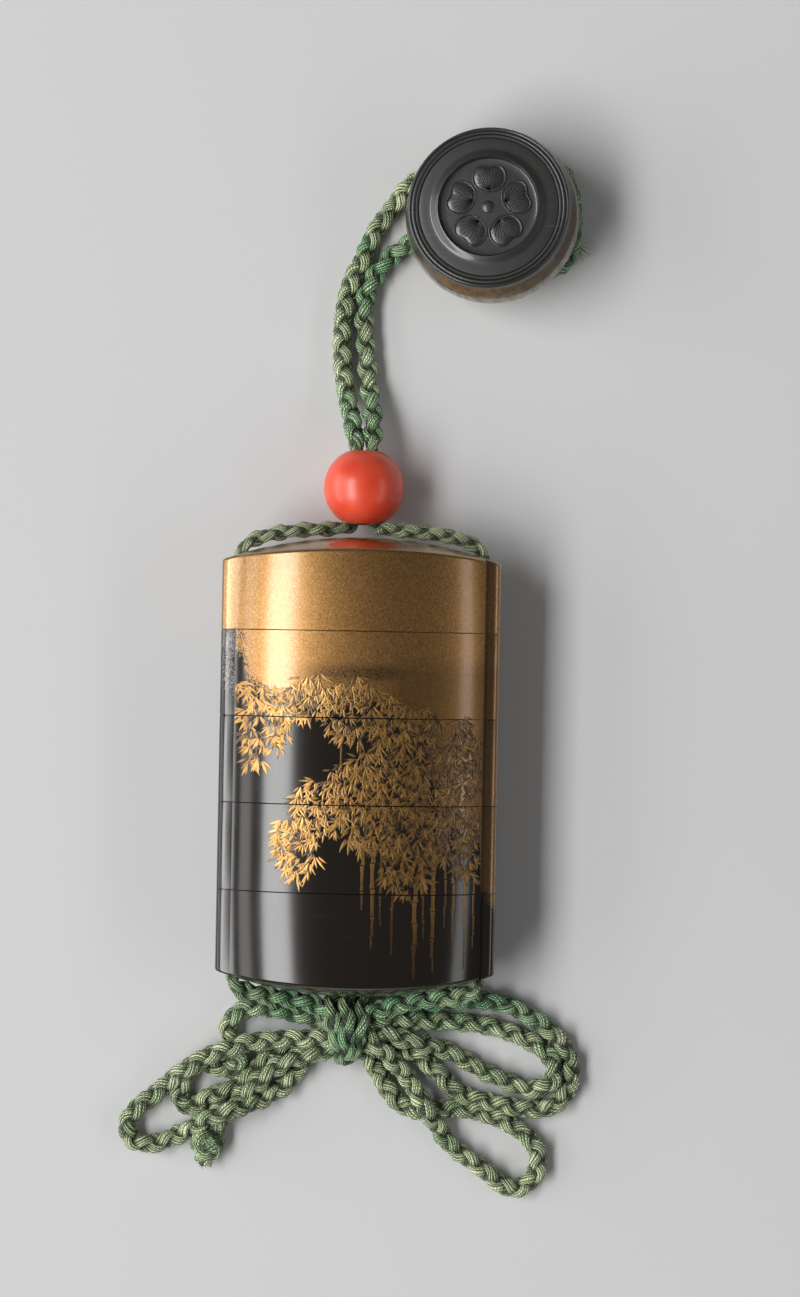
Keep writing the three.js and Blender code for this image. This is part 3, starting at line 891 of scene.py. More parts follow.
@dataclass
class Plait:
    """Four yarns plaited round: two turn each way and pass over and under in turn.

    The middle and the weave are shares of the plait's radius: how far out the yarns run, and how
    far they swing over and under. Flat and broad shape a yarn's section as shares of its radius.
    """

    radius: float = 2.15
    yarn: float = 0.84
    stitch: float = 9.7
    slow: float = 0.27
    middle: float = 0.46
    weave: float = 0.25
    flat: float = 0.8
    broad: float = 1.36
    uneven: float = 0.05
    sides: int = 8
    step: float = 0.55

    def mesh(
        self, name: str, route: list[Vector], size: Callable[[int], float], tint: Callable[[int], float],
    ) -> bpy.types.Mesh:
        """Plaits yarns along a line.

        Args:
            name: the mesh's name.
            route: evenly spaced points in millimetres.
            size: the plait's size at a point, as a share of its full radius.
            tint: how green the silk is at a point.

        Returns:
            The mesh in metres, with its threads' UV map and its tint and depth attributes.
        """
        line = np.array([tuple(point) for point in route])
        along = np.gradient(line, axis=0)
        along /= np.linalg.norm(along, axis=1, keepdims=True)
        side = self._carried_sides(along)
        third = np.cross(along, side)
        sizes = np.array([size(index) for index in range(len(line))])
        tints = np.array([tint(index) for index in range(len(line))])
        turned = np.arange(len(line)) * self.step / self.stitch * 2 * math.pi
        phase = 2 * turned - math.pi / 2
        verts, faces, uvs, shades, depths = [], [], [], [], []
        for yarn in range(4):
            way = 1 if yarn % 2 == 0 else -1
            eased = turned - way * self.slow * np.sin(phase)
            angle = way * eased + math.pi * (yarn // 2) + (0 if way == 1 else math.pi / 2)
            lift = self.radius * (self.middle + way * self.weave * np.cos(phase))
            centre = line + (sizes * lift * np.cos(angle))[:, None] * side
            centre += (sizes * lift * np.sin(angle))[:, None] * third
            base = sum(len(part) for part in verts)
            part, ring_faces, ring_uvs = self._yarn_tube(centre, line, sizes, base)
            verts.append(part)
            faces.append(ring_faces)
            uvs.append(ring_uvs + np.array([0.0, 0.27 * yarn]))
            shades.append(np.repeat(tints + 0.08 * (yarn - 1.5), self.sides))
            depths.append(np.repeat(0.5 - 0.5 * way * np.cos(phase), self.sides))
        return self._assemble(name, verts, faces, uvs, {"tint": shades, "depth": depths})

    @staticmethod
    def _carried_sides(along: np.ndarray) -> np.ndarray:
        """A sideways direction at each point, carried along the line without twisting.

        Args:
            along: the line's directions.

        Returns:
            One sideways direction for each.
        """
        start = np.cross(along[0], (0.0, 0.0, 1.0))
        if np.linalg.norm(start) < 0.1:
            start = np.cross(along[0], (1.0, 0.0, 0.0))
        sides = [start / np.linalg.norm(start)]
        for direction in along[1:]:
            carried = sides[-1] - direction * np.dot(sides[-1], direction)
            sides.append(carried / np.linalg.norm(carried))
        return np.array(sides)

    def _yarn_tube(self, centre: np.ndarray, line: np.ndarray, sizes: np.ndarray, base: int) -> tuple:
        """One yarn as a tube, flatter towards the plait's middle.

        Args:
            centre: the yarn's middle line.
            line: the plait's middle line.
            sizes: the plait's size at each point.
            base: the first point's index in the whole mesh.

        Returns:
            The tube's points, its quads and their UVs.
        """
        along = np.gradient(centre, axis=0)
        along /= np.linalg.norm(along, axis=1, keepdims=True)
        out = centre - line
        out -= along * np.sum(out * along, axis=1, keepdims=True)
        out /= np.linalg.norm(out, axis=1, keepdims=True)
        wide = np.cross(along, out)
        turn = np.arange(self.sides) / self.sides * 2 * math.pi
        flat = self.yarn * self.flat * np.cos(turn)
        broad = self.yarn * self.broad * np.sin(turn)
        offset = out[:, None, :] * flat[None, :, None] + wide[:, None, :] * broad[None, :, None]
        rings = len(centre)
        jitter = np.random.RandomState(base + rings).standard_normal((rings, self.sides, 1))
        uneven = 1 + self.uneven * jitter
        verts = (centre[:, None, :] + sizes[:, None, None] * offset * uneven).reshape(-1, 3)
        ring, corner = np.meshgrid(np.arange(rings - 1), np.arange(self.sides), indexing="ij")
        after = (corner + 1) % self.sides
        a = base + ring * self.sides + corner
        b = base + ring * self.sides + after
        quads = np.stack([a, b, b + self.sides, a + self.sides], axis=-1).reshape(-1, 4)
        travelled = np.arange(rings) * self.step / 10
        low, high = corner / self.sides, (corner + 1) / self.sides
        start, end = travelled[ring], travelled[ring + 1]
        corners = [(start, low), (start, high), (end, high), (end, low)]
        uv = np.stack([np.stack(pair, axis=-1) for pair in corners], axis=-2).reshape(-1, 2)
        return verts, quads, uv

    def _assemble(
        self, name: str, verts: list, faces: list, uvs: list, marks: dict[str, list],
    ) -> bpy.types.Mesh:
        """Joins the yarns, closes their ends and keeps the UV map and the marks.

        Args:
            name: the mesh's name.
            verts: each yarn's points in millimetres.
            faces: each yarn's quads.
            uvs: each yarn's UVs.
            marks: values for each point, by attribute name.

        Returns:
            The mesh in metres.
        """
        points = np.concatenate(verts) * MM
        points[:, 2] = np.maximum(points[:, 2], 0.03 * MM)
        quads = np.concatenate(faces)
        ends, base = [], 0
        for part in verts:
            first = list(range(base + self.sides - 1, base - 1, -1))
            last = list(range(base + len(part) - self.sides, base + len(part)))
            ends.extend([first, last])
            base += len(part)
        mesh = bpy.data.meshes.new(name)
        mesh.from_pydata(points.tolist(), [], quads.tolist() + ends)
        layer = mesh.uv_layers.new(name="threads")
        flat = np.concatenate([np.concatenate(uvs), np.zeros((len(ends) * self.sides, 2))])
        layer.data.foreach_set("uv", flat.astype(np.float32).ravel())
        for mark, values in marks.items():
            layer = mesh.attributes.new(mark, "FLOAT", "POINT")
            layer.data.foreach_set("value", np.clip(np.concatenate(values), 0, 1).astype(np.float32))
        mesh.shade_smooth()
        return mesh


@dataclass
class SilkCord:
    """One plaited cord from the bow up through the case, the bead and the toggle and back."""

    plait: Plait = field(default_factory=Plait)
    radius: float = 2.0
    rest_z: float = 2.08
    squeezed_in_bead: float = 0.56
    squeezed_in_channel: float = 0.64
    squeezed_on_shoulder: float = 0.77
    wrapped_size: float = 0.98
    outer_right_loop: tuple[Triple, ...] = (
        (-1, -52.5, 3.6), (3.5, -50.5, 3.4), (7.5, -49, 2.5), (14, -48, 1.8), (21.5, -47, 1.8),
        (26.5, -47, 1.8), (31.5, -48, 1.8), (37, -51, 1.8), (41.5, -55, 1.8), (43.8, -60, 1.8),
        (43, -65, 1.8), (40, -68, 1.8), (36, -68.7, 1.8), (31, -68, 1.8), (26, -67, 1.8),
        (21, -65.5, 1.8), (17.5, -62, 1.8), (13, -58.5, 1.8), (9, -56.5, 1.8), (4.5, -55.3, 2.6),
    )
    inner_right_loop: tuple[Triple, ...] = (
        (-0.5, -52.8, 4.6), (6, -50.5, 5.2), (13.5, -51.3, 3), (22.5, -51.5, 1.8), (29, -52.5, 1.8),
        (34.5, -54.5, 1.8), (38.5, -57, 2.4), (40.4, -59.7, 3.2), (40, -62.5, 3.2),
        (37.8, -64.3, 2.6), (34.5, -64.4, 1.8), (30.5, -63, 1.8), (25.5, -60.8, 1.8),
        (21.5, -58.5, 1.8), (17, -56.5, 2.5), (12.5, -55.3, 5), (8, -54, 5.5), (3.5, -52.5, 5.2),
    )
    lower_right_loop: tuple[Triple, ...] = (
        (0, -54, 5), (2.5, -57.5, 4.2), (4.8, -61.5, 2), (6.8, -65, 1.8), (9.5, -68, 1.8),
        (13, -69.3, 1.8), (17, -69, 1.8), (21.5, -68.8, 1.8), (26, -69.5, 1.8), (31.3, -71.5, 1.8),
        (35, -74, 1.8), (37.2, -77, 1.8), (37.4, -80.5, 1.8), (35.3, -83.6, 1.8), (32, -84.7, 1.8),
        (29, -83, 1.8), (26, -80.5, 1.8), (21.8, -77.7, 1.8), (18.8, -75, 1.8), (17, -72, 3),
        (14.8, -68.8, 5.2), (13.2, -66, 4.4), (11, -62.8, 3.2), (8, -59.3, 4.4), (4.5, -55.5, 6),
    )
    right_exit: tuple[Triple, ...] = (
        (0.5, -51.6, 6.2), (4.6, -48.9, 6.6), (9, -47.3, 7.5), (13.8, -46.3, 8.6), (19, -45.4, 10),
        (22.6, -44.6, 11.5), (24, -42.8, 12.25),
    )
    right_channel: tuple[Triple, ...] = ((24.1, -40, 12.35), (24.1, 0, 12.35), (24.1, 40, 12.35))
    right_shoulder: tuple[Triple, ...] = (
        (23.8, 42.6, 12.35), (21.6, 44.5, 12.35), (17.5, 45.8, 12.1), (11.5, 46.7, 11.4),
        (5.4, 47.2, 9.8), (2.3, 48, 8.6),
    )
    right_bead_strand: tuple[Triple, ...] = ((1.4, 50.5, 8), (1.4, 60, 8))
    right_strand: tuple[Triple, ...] = (
        (1.5, 64.5, 7.4), (1.4, 71, 4.4), (0.5, 77, 2.4), (0, 82.5, 1.8), (-0.5, 88, 1.8),
        (-0.5, 93, 1.8), (0.5, 96.8, 1.8), (3, 100.5, 1.8), (5.7, 103.3, 2.4), (8.5, 104.8, 4),
    )
    through_toggle: tuple[Triple, ...] = (
        (12.2, 104.7, 5), (18, 103.5, 5.6), (26, 102.3, 5.6), (31.5, 101, 5), (36, 100.2, 3.2),
        (39.2, 101.7, 1.8), (40.7, 105.3, 1.8), (41, 109.6, 1.8), (40.7, 114.2, 1.8),
        (38.9, 118.9, 1.9), (35.5, 121.2, 3.4), (30, 120.6, 5), (21.5, 119.3, 5.4), (14.5, 118.2, 5.2),
    )
    left_strand: tuple[Triple, ...] = (
        (9.3, 117.3, 4.3), (7, 115.4, 3), (4.8, 112.2, 2), (2.3, 109, 1.8), (0.3, 105.3, 1.8),
        (-1.3, 101.5, 1.8), (-3.6, 96.5, 1.8), (-4.8, 90.5, 1.8), (-5, 84.5, 1.8), (-4.6, 78.5, 2.2),
        (-3.2, 71, 4.2), (-1.8, 65, 7.2),
    )
    left_exit: tuple[Triple, ...] = (
        (-24, -42.8, 12.25), (-22.8, -44.6, 11.5), (-20, -45.3, 10.2), (-15, -46.2, 8.5),
        (-10, -47.1, 7.4), (-6, -48.9, 6.5), (-2.2, -51.6, 6),
    )
    long_left_loop: tuple[Triple, ...] = (
        (-3.5, -54.3, 5.2), (-6.5, -55, 5), (-11, -55, 5), (-17, -55.4, 5.2), (-21.5, -56, 5.2),
        (-25, -57.2, 5.2), (-30, -59.2, 5), (-33.5, -61.6, 4.6), (-37, -64.5, 2.6), (-40, -67.2, 1.8),
        (-43, -69.6, 1.8), (-45, -72.2, 1.8), (-45.2, -74.8, 1.8), (-43.5, -76.6, 1.8),
        (-40.3, -77, 1.8), (-36, -75.6, 1.8), (-33, -74, 2.4), (-30.3, -72.3, 3.8), (-27.3, -70.4, 5.2),
        (-23.5, -69.2, 5), (-19.5, -68, 3), (-15.8, -66.2, 1.8), (-12.7, -63.7, 1.8),
        (-10.7, -60.7, 1.8), (-8, -58, 2), (-4.5, -55.6, 3),
    )
    upper_left_loop: tuple[Triple, ...] = (
        (-2, -52.5, 3.4), (-6, -51.5, 2.4), (-10, -50.6, 1.8), (-14.5, -49.7, 1.8), (-19, -49.2, 1.8),
        (-22.7, -49.9, 1.8), (-25, -52, 1.8), (-25.2, -54.7, 1.8), (-24, -57.2, 1.8),
    )
    small_left_loop: tuple[Triple, ...] = (
        (-23, -59.6, 1.8), (-24.2, -61.6, 1.8), (-27, -61.5, 1.8), (-30, -60.6, 1.8),
        (-32.8, -61.8, 1.8), (-34.3, -64.4, 1.8), (-34.8, -67, 1.8), (-33.9, -69.2, 1.8),
        (-31.6, -69.1, 1.8), (-29.5, -67.5, 1.8), (-26, -66.3, 1.8), (-23, -64.8, 1.8),
        (-20.5, -62.8, 1.8), (-18.5, -60.5, 1.8), (-16.3, -58.6, 1.8), (-13, -57.2, 1.8),
        (-8.5, -55.5, 1.9), (-4, -54, 3),
    )
    knotted_end: tuple[Triple, ...] = (
        (-2.5, -55.5, 3.8), (-6, -57.3, 4.4), (-10, -58.3, 4.6), (-13.7, -59.6, 4.6),
        (-17, -62, 4.4), (-20, -64.8, 4.2), (-22.5, -67.3, 3), (-24.8, -69.9, 1.8),
        (-26.6, -72.7, 1.8), (-28.2, -75.2, 2.6),
    )
    free_end: Triple = (-29.9, -80.4, 2.1)

    @staticmethod
    def _mirrored(points: Sequence[Triple]) -> tuple[Triple, ...]:
        """The points on the other side, in the opposite order."""
        return tuple((-x, y, z) for x, y, z in reversed(points))

    def points(self) -> list[Triple]:
        """Every point of the route in order.

        Returns:
            The points in millimetres, none lower than a loop at rest.
        """
        stretches = (
            self.outer_right_loop, self.inner_right_loop, self.lower_right_loop, self.right_exit,
            self.right_channel, self.right_shoulder, self.right_bead_strand, self.right_strand,
            self.through_toggle, self.left_strand, self._mirrored(self.right_bead_strand),
            self._mirrored(self.right_shoulder), self._mirrored(self.right_channel), self.left_exit,
            self.long_left_loop, self.upper_left_loop, self.small_left_loop, self.knotted_end,
        )
        return [(x, y, max(z, self.rest_z)) for stretch in stretches for x, y, z in stretch]

    def _size(self, point: Vector) -> float:
        """The plait's size: it is squeezed in the bead, in the channels and over the shoulders.

        Args:
            point: a point of the route.

        Returns:
            A share of the full size.
        """
        if 49.0 < point.y < 62.5:
            return self.squeezed_in_bead
        if abs(point.x) > 22.5 and -43.5 < point.y < 43.5:
            return self.squeezed_in_channel
        if 42.0 < point.y < 49.5:
            return self.squeezed_on_shoulder
        return 1.0

    def _eased_sizes(self, route: Sequence[Vector], reach: int = 5) -> list[float]:
        """The sizes along the route, each the mean of its neighbours within reach.

        Args:
            route: the points of the route.
            reach: how many neighbours count on each side.

        Returns:
            One size for each point.
        """
        sizes = [self._size(point) for point in route]
        eased = []
        for index in range(len(sizes)):
            near = sizes[max(0, index - reach):index + reach + 1]
            eased.append(sum(near) / len(near))
        return eased

    @staticmethod
    def _tint(point: Vector) -> float:
        """How green the silk is: more beside the case's foot, at the bead and at the toggle.

        Args:
            point: a point of the route.

        Returns:
            The tint, from 0 to 1.
        """
        near_foot = max(0.0, 1.0 - abs(point.y + 47.5) / 7.0)
        near_bead = max(0.0, 1.0 - abs(point.y - 70.0) / 9.0)
        lower_strand = point.x > -0.6 and (point.y < 105.5 or point.x > 12.0)
        near_toggle = 0.75 * min(1.0, max(0.0, (point.y - 88.0) / 8.0)) if lower_strand else 0.0
        return min(1.0, 0.1 + 0.75 * near_foot + 0.7 * near_bead + near_toggle)

    def build(self, silk: bpy.types.Material) -> list[bpy.types.Object]:
        """Args:
            silk: the yarn's material.

        Returns:
            The cord first, then the pieces on it.
        """
        route = smooth_route(self.points(), self.plait.step)
        sizes = self._eased_sizes(route)
        mesh = self.plait.mesh("silk_plait", route, lambda i: sizes[i], lambda i: self._tint(route[i]))
        cord = link_mesh("silk_plait", mesh)
        dress(cord, "silk", silk)
        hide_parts("silk_cord")
        knot = self._bow_knot(silk)
        end = self._end_knot(silk)
        tufts = self._tufts(silk)
        return [cord, knot, end, tufts]

    def _wrapped(
        self, name: str, routes: list[list[Triple]], tint: float, plait: Plait, silk: bpy.types.Material,
    ) -> bpy.types.Object:
        """Short plaited turns joined into one piece.

        Args:
            name: the piece's name.
            routes: each turn's points in millimetres.
            tint: how green the turns are.
            plait: how the turns are plaited.
            silk: the yarn's material.

        Returns:
            The piece.
        """
        shape = bmesh.new()
        for index, points in enumerate(routes):
            route = smooth_route(points, plait.step)
            part = plait.mesh(f"{name}_{index}", route, lambda i: self.wrapped_size, lambda i: tint)
            shape.from_mesh(part)
            bpy.data.meshes.remove(part)
        mesh = as_mesh(name, shape)
        mesh.shade_smooth()
        piece = link_mesh(name, mesh)
        dress(piece, "silk", silk)
        return piece

    def _bow_knot(self, silk: bpy.types.Material) -> bpy.types.Object:
        """The three turns over the middle of the bow, tucked in at its lower side.

        Args:
            silk: the yarn's material.

        Returns:
            The knot.
        """
        turns = [
            [(-4.2, -46.6, 2.6), (-4.5, -48.2, 6.4), (-4.0, -51.6, 8.6),
             (-3.2, -55.2, 8), (-2.6, -58, 4.8), (-2.3, -58.4, 2.2)],
            [(1.6, -46.6, 2.6), (1.8, -48.4, 6.4), (1.3, -51.6, 8.6),
             (0.5, -55.2, 7.8), (-0.3, -57.8, 4.6), (-0.7, -58, 2.2)],
            [(-1.4, -46.2, 3.0), (-1.5, -48, 7.2), (-1.4, -51.6, 9.4),
             (-1.4, -55.4, 8.6), (-1.4, -58.3, 5.2), (-1.4, -58.8, 2.4)],
        ]
        return self._wrapped("bow_knot", turns, 0.6, Plait(radius=2.0, yarn=0.8, stitch=13.0), silk)

    def _end_knot(self, silk: bpy.types.Material) -> bpy.types.Object:
        """The overhand knot at the cord's free end.

        Args:
            silk: the yarn's material.

        Returns:
            The knot.
        """
        centre = Vector((-28.9, -76.6, 2.9))
        turns = []
        steps = 8
        for lean in (0.3, 1.9):
            ring = []
            for index in range(steps + 1):
                angle = 2 * math.pi * index / steps
                offset = Vector((math.cos(angle) * 2.0, math.sin(angle) * 1.4, math.sin(angle) * 0.6))
                offset.rotate(Quaternion((0, 0, 1), lean))
                ring.append(tuple(centre + offset))
            turns.append(ring)
        turns.append([self.knotted_end[-1], (-29.2, -77.4, 3.4), self.free_end])
        return self._wrapped("end_knot", turns, 0.35, self.plait, silk)

    def _tufts(self, silk: bpy.types.Material) -> bpy.types.Object:
        """Frayed yarn ends beside the toggle and below the end knot.

        Args:
            silk: the yarn's material.

        Returns:
            The frayed ends as one piece.
        """
        draw = random.Random(11)
        shape = bmesh.new()
        layer = shape.verts.layers.float.new("tint")
        homes = (
            ((41.4, 105.5, 2.2), (0.55, -0.8, 0.1), 26, 4.6),
            ((-29.9, -80.4, 2.0), (-0.3, -0.9, 0.0), 16, 1.6),
        )
        for home, aim, count, reach in homes:
            for _ in range(count):
                stray = (draw.uniform(-0.9, 0.9), draw.uniform(-0.5, 0.5), draw.uniform(-0.2, 0.5))
                direction = (Vector(aim) + Vector(stray)).normalized()
                self._fibre(shape, layer, Vector(home), direction, reach * draw.uniform(0.55, 1.0), draw)
        piece = finish_bmesh("frayed_ends", shape, 80)
        dress(piece, "silk", silk)
        return piece

    @staticmethod
    def _fibre(
        shape: bmesh.types.BMesh, layer: bmesh.types.BMLayerItem, start: Vector, direction: Vector,
        reach: float, draw: random.Random,
    ) -> None:
        """One curling fibre, as a thin three-sided tube that bends to the ground.

        Args:
            shape: the bmesh that it joins.
            layer: the tint's layer.
            start: where it leaves the cord.
            direction: the way it sets out.
            reach: its length.
            draw: the source of chance.
        """
        turn = direction.to_track_quat("Z", "Y")
        made = bmesh.ops.create_circle(
            shape, cap_ends=False, segments=3, radius=0.13,
            matrix=Matrix.Translation(start) @ turn.to_matrix().to_4x4(),
        )
        loop = made["verts"]
        curl = Vector((draw.uniform(-0.3, 0.3), draw.uniform(-0.3, 0.3), -0.12))
        tint, bends = 0.9, 4
        for vert in loop:
            vert[layer] = tint
        edges = list({edge for vert in loop for edge in vert.link_edges})
        for _ in range(bends):
            grown = bmesh.ops.extrude_edge_only(shape, edges=edges)["geom"]
            verts = [item for item in grown if isinstance(item, bmesh.types.BMVert)]
            faces = {item for item in grown if isinstance(item, bmesh.types.BMFace)}
            edges = [
                item for item in grown
                if isinstance(item, bmesh.types.BMEdge)
                and sum(face in faces for face in item.link_faces) == 1
                and all(vert in verts for vert in item.verts)
            ]
            direction = (direction + curl).normalized()
            middle = sum((vert.co for vert in verts), Vector()) / len(verts)
            for vert in verts:
                vert.co = middle + (vert.co - middle) * 0.85 + direction * reach / bends
                vert.co.z = max(vert.co.z, 0.1)
                vert[layer] = tint
        bmesh.ops.contextual_create(shape, geom=edges)


# ---- the case ----


@dataclass
class LacquerCase:
    """The lid and four trays: thin-walled lofts that nest by a riser and a socket."""

    half_depth: float = 12.65
    axis_z: float = 12.35
    face_half_width: float = 24.5
    face_ellipse: float = 28.0
    rib_centre: float = 23.0
    rib_half_width: float = 4.5
    rib_half_depth: float = 5.54
    rib_start_x: float = 24.35
    rib_power: float = 8.0
    rib_incline: float = 0.17
    face_steps: int = 26
    rib_steps: int = 22
    dome: Triple = (62.45, 45.35, 36.9)
    dome_wall: float = 2.0
    seams: tuple[float, ...] = (26.75, 9.85, -7.15, -24.35)
    seam_gap: float = 0.08
    edge: float = 0.07
    end_edge: float = 0.42
    socket: tuple[float, float] = (21.5, 11.35)
    riser: tuple[float, float] = (21.2, 11.05)
    cavity: tuple[float, float] = (20.4, 10.25)
    room_power: float = 2.6
    riser_height: float = 3.9
    riser_edge: float = 0.15
    socket_depth: float = 4.3
    floor: float = 1.5
    channel_x: float = 24.1
    channel_radius: float = 1.9

    def face_height(self, x: float) -> float:
        """The front face's height above the floor at a place across the case."""
        return self.axis_z + self.half_depth * math.sqrt(max(0.0, 1 - (x / self.face_ellipse) ** 2))

    def outline(self) -> list[tuple[float, float]]:
        """The case's section as X and height above its axis, once round.

        Returns:
            The outline without a repeated point.
        """
        face = []
        for index in range(self.face_steps + 1):
            x = self.face_half_width * math.sin(math.pi / 2 * index / self.face_steps)
            face.append((x, self.half_depth * math.sqrt(1 - (x / self.face_ellipse) ** 2)))
        share = 2 / self.rib_power
        start = math.acos(((self.rib_start_x - self.rib_centre) / self.rib_half_width) ** (1 / share))
        rib = []
        for index in range(self.rib_steps + 1):
            angle = start * (1 - 2 * index / self.rib_steps)
            x = self.rib_centre + self.rib_half_width * math.cos(angle) ** share
            depth = self.rib_half_depth - self.rib_incline * (x - self.rib_start_x)
            rib.append((x, math.copysign(depth * abs(math.sin(angle)) ** share, angle)))
        back = [(x, max(-height, -self.axis_z)) for x, height in reversed(face)]
        right = [*face, *rib, *back]
        return right + [(-x, height) for x, height in reversed(right[1:-1])]

    def _ring(self, y: Height, inset: float = 0.0, scale: float = 1.0) -> list[Triple]:
        """The outline at a height along Y, drawn in by an inset or scaled.

        Args:
            y: the place along Y, or its function of the section.
            inset: how far the outline is drawn in.
            scale: its share of the full size.

        Returns:
            The ring's points.
        """
        ring = []
        for x, height in self.outline():
            reach = math.hypot(x, height)
            share = scale * (reach - inset) / reach
            px, pz = x * share, height * share
            ring.append((px, y(px, pz) if callable(y) else y, pz + self.axis_z))
        return ring

    def _room_ring(self, size: tuple[float, float], y: Height, scale: float = 1.0) -> list[Triple]:
        """A room's superellipse outline, with as many points as the case's own.

        Args:
            size: the room's half width and half depth.
            y: the place along Y, or its function of the section.
            scale: its share of the full size.

        Returns:
            The ring's points.
        """
        ring = []
        for x, height in self.outline():
            angle = math.atan2(height / size[1], x / size[0])
            c, s = math.cos(angle), math.sin(angle)
            reach = (abs(c) ** self.room_power + abs(s) ** self.room_power) ** (-1 / self.room_power)
            px, pz = size[0] * reach * c * scale, size[1] * reach * s * scale
            ring.append((px, y(px, pz) if callable(y) else y, pz + self.axis_z))
        return ring

    def _end(self, sign: int, wall: float) -> Callable[[float, float], float]:
        """The domed end's height along Y over a place in the section.

        Args:
            sign: 1 for the lid and -1 for the foot.
            wall: how far inside the outer dome.

        Returns:
            The dome's Y as a function of the section's X and Z.
        """
        a, b, c = (axis - wall for axis in self.dome)

        def height(x: float, z: float) -> float:
            """The dome's Y at a place."""
            return sign * b * math.sqrt(max(0.0, 1 - (x / a) ** 2 - (z / c) ** 2))

        return height

    def _dome_rings(self, loft: Loft, sign: int) -> Loft:
        """Closes the shell with the outer domed end and its worn rim.

        Args:
            loft: the open shell.
            sign: 1 for the lid and -1 for the foot.

        Returns:
            The closed loft.
        """
        end = self._end(sign, 0.0)
        loft.to(self._ring(lambda x, z: end(x, z) - sign * self.end_edge), 0)
        loft.to(self._ring(lambda x, z: end(x, z) - sign * self.end_edge * 0.3, self.end_edge * 0.3), 2)
        loft.to(self._ring(end, self.end_edge), 2)
        worn = 0.84 if sign < 0 else 1.0
        for scale in (0.94, 0.84, 0.7, 0.54, 0.36, 0.18):
            loft.to(self._ring(end, 0.0, scale), 2 if scale >= worn else 0)
        return loft.close_at((0.0, sign * self.dome[1], self.axis_z), 0)

    def _wall(self, loft: Loft, low: float, high: float) -> Loft:
        """The outer wall between two seams, with its softened edges.

        Args:
            loft: the open shell.
            low: the lower seam.
            high: the upper seam.

        Returns:
            The loft, open at the upper seam.
        """
        loft.to(self._ring(low, self.edge), 1)
        loft.to(self._ring(low + self.edge), 2)
        loft.to(self._ring(high - self.edge), 0)
        return loft.to(self._ring(high, self.edge), 2)

    def _riser_and_room(self, loft: Loft, high: float) -> Loft:
        """The seam's flat, the riser that stands above it, and the lip into the room.

        Args:
            loft: the open shell.
            high: the upper seam.

        Returns:
            The loft, open at the room's lip.
        """
        top = high + self.riser_height
        loft.to(self._room_ring(self.riser, high), 1)
        loft.to(self._room_ring(self.riser, top - self.riser_edge), 1)
        loft.to(self._room_ring(self._riser_middle(), top), 1)
        return loft.to(self._room_ring(self.cavity, top - self.riser_edge), 1)

    def _riser_middle(self) -> tuple[float, float]:
        """The half sizes of the middle of the riser's thin wall."""
        return ((self.riser[0] + self.cavity[0]) / 2, (self.riser[1] + self.cavity[1]) / 2)

    def lid(self) -> bpy.types.Object:
        """The domed lid.

        Returns:
            The lid.
        """
        low = self.seams[0] + self.seam_gap / 2
        end = self._end(1, self.dome_wall)
        rings = [self._room_ring(self.socket, end, scale) for scale in (0.2, 0.45, 0.7, 0.88, 1.0)]
        loft = Loft(rings[0])
        loft.cap(1)
        for ring in rings[1:]:
            loft.to(ring, 1)
        loft.to(self._room_ring(self.socket, low), 1)
        loft.to(self._ring(low, self.edge), 1)
        loft.to(self._ring(low + self.edge), 2)
        self._dome_rings(loft, 1)
        return finish_bmesh("lid_shell", loft.finish())

    def tray(self, index: int) -> bpy.types.Object:
        """One tray, counted down from the lid.

        Args:
            index: 0 for the tray under the lid.

        Returns:
            The tray.
        """
        high = self.seams[index] - self.seam_gap / 2
        name = f"tray_{index + 1}_shell"
        if index < len(self.seams) - 1:
            low = self.seams[index + 1] + self.seam_gap / 2
            loft = Loft(self._room_ring(self.socket, low + self.socket_depth))
            loft.cap(1)
            loft.to(self._room_ring(self.socket, low), 1)
            self._wall(loft, low, high)
            self._riser_and_room(loft, high)
            loft.to(self._room_ring(self.cavity, low + self.socket_depth + self.floor), 1).cap(1)
            return finish_bmesh(name, loft.finish())
        end = self._end(-1, self.dome_wall)
        rings = [self._room_ring(self.cavity, end, scale) for scale in (0.2, 0.45, 0.7, 0.88, 1.0)]
        loft = Loft(rings[0])
        loft.cap(1)
        for ring in rings[1:]:
            loft.to(ring, 1)
        top = high + self.riser_height
        loft.to(self._room_ring(self.cavity, top - self.riser_edge), 1)
        loft.to(self._room_ring(self._riser_middle(), top), 1)
        loft.to(self._room_ring(self.riser, top - self.riser_edge), 1)
        loft.to(self._room_ring(self.riser, high), 1)
        loft.to(self._ring(high, self.edge), 1)
        loft.to(self._ring(high - self.edge), 2)
        self._dome_rings(loft, -1)
        return finish_bmesh(name, loft.finish())

    def _channel_cutter(self) -> bpy.types.Object:
        """Two long rods where the cord runs through the ribs.

        Returns:
            The rods.
        """
        shape = bmesh.new()
        for side in (-1, 1):
            along_y = Matrix.Rotation(math.pi / 2, 4, "X")
            place = Matrix.Translation((side * self.channel_x, 0, self.axis_z)) @ along_y
            bmesh.ops.create_cone(
                shape, cap_ends=True, segments=32, radius1=self.channel_radius,
                radius2=self.channel_radius, depth=110, matrix=place,
            )
        return finish_bmesh("channel_rods", shape)

    def build(self, finishes: Sequence[bpy.types.Material]) -> list[bpy.types.Object]:
        """Builds, bores and dresses every section.

        Args:
            finishes: the painted face, the inside and the worn edge.

        Returns:
            The sections from the lid down.
        """
        sections = [self.lid(), *(self.tray(index) for index in range(len(self.seams)))]
        rods = self._channel_cutter()
        names = ["inro_lid", *(f"inro_case_{index + 1}" for index in range(len(self.seams)))]
        for section, node in zip(sections, names):
            carve(section, rods)
            dress(section, "gold_lacquer" if node == "inro_lid" else "black_lacquer", *finishes)
            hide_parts(node)
        bpy.data.objects.remove(rods)
        return sections


# ---- the painting ----


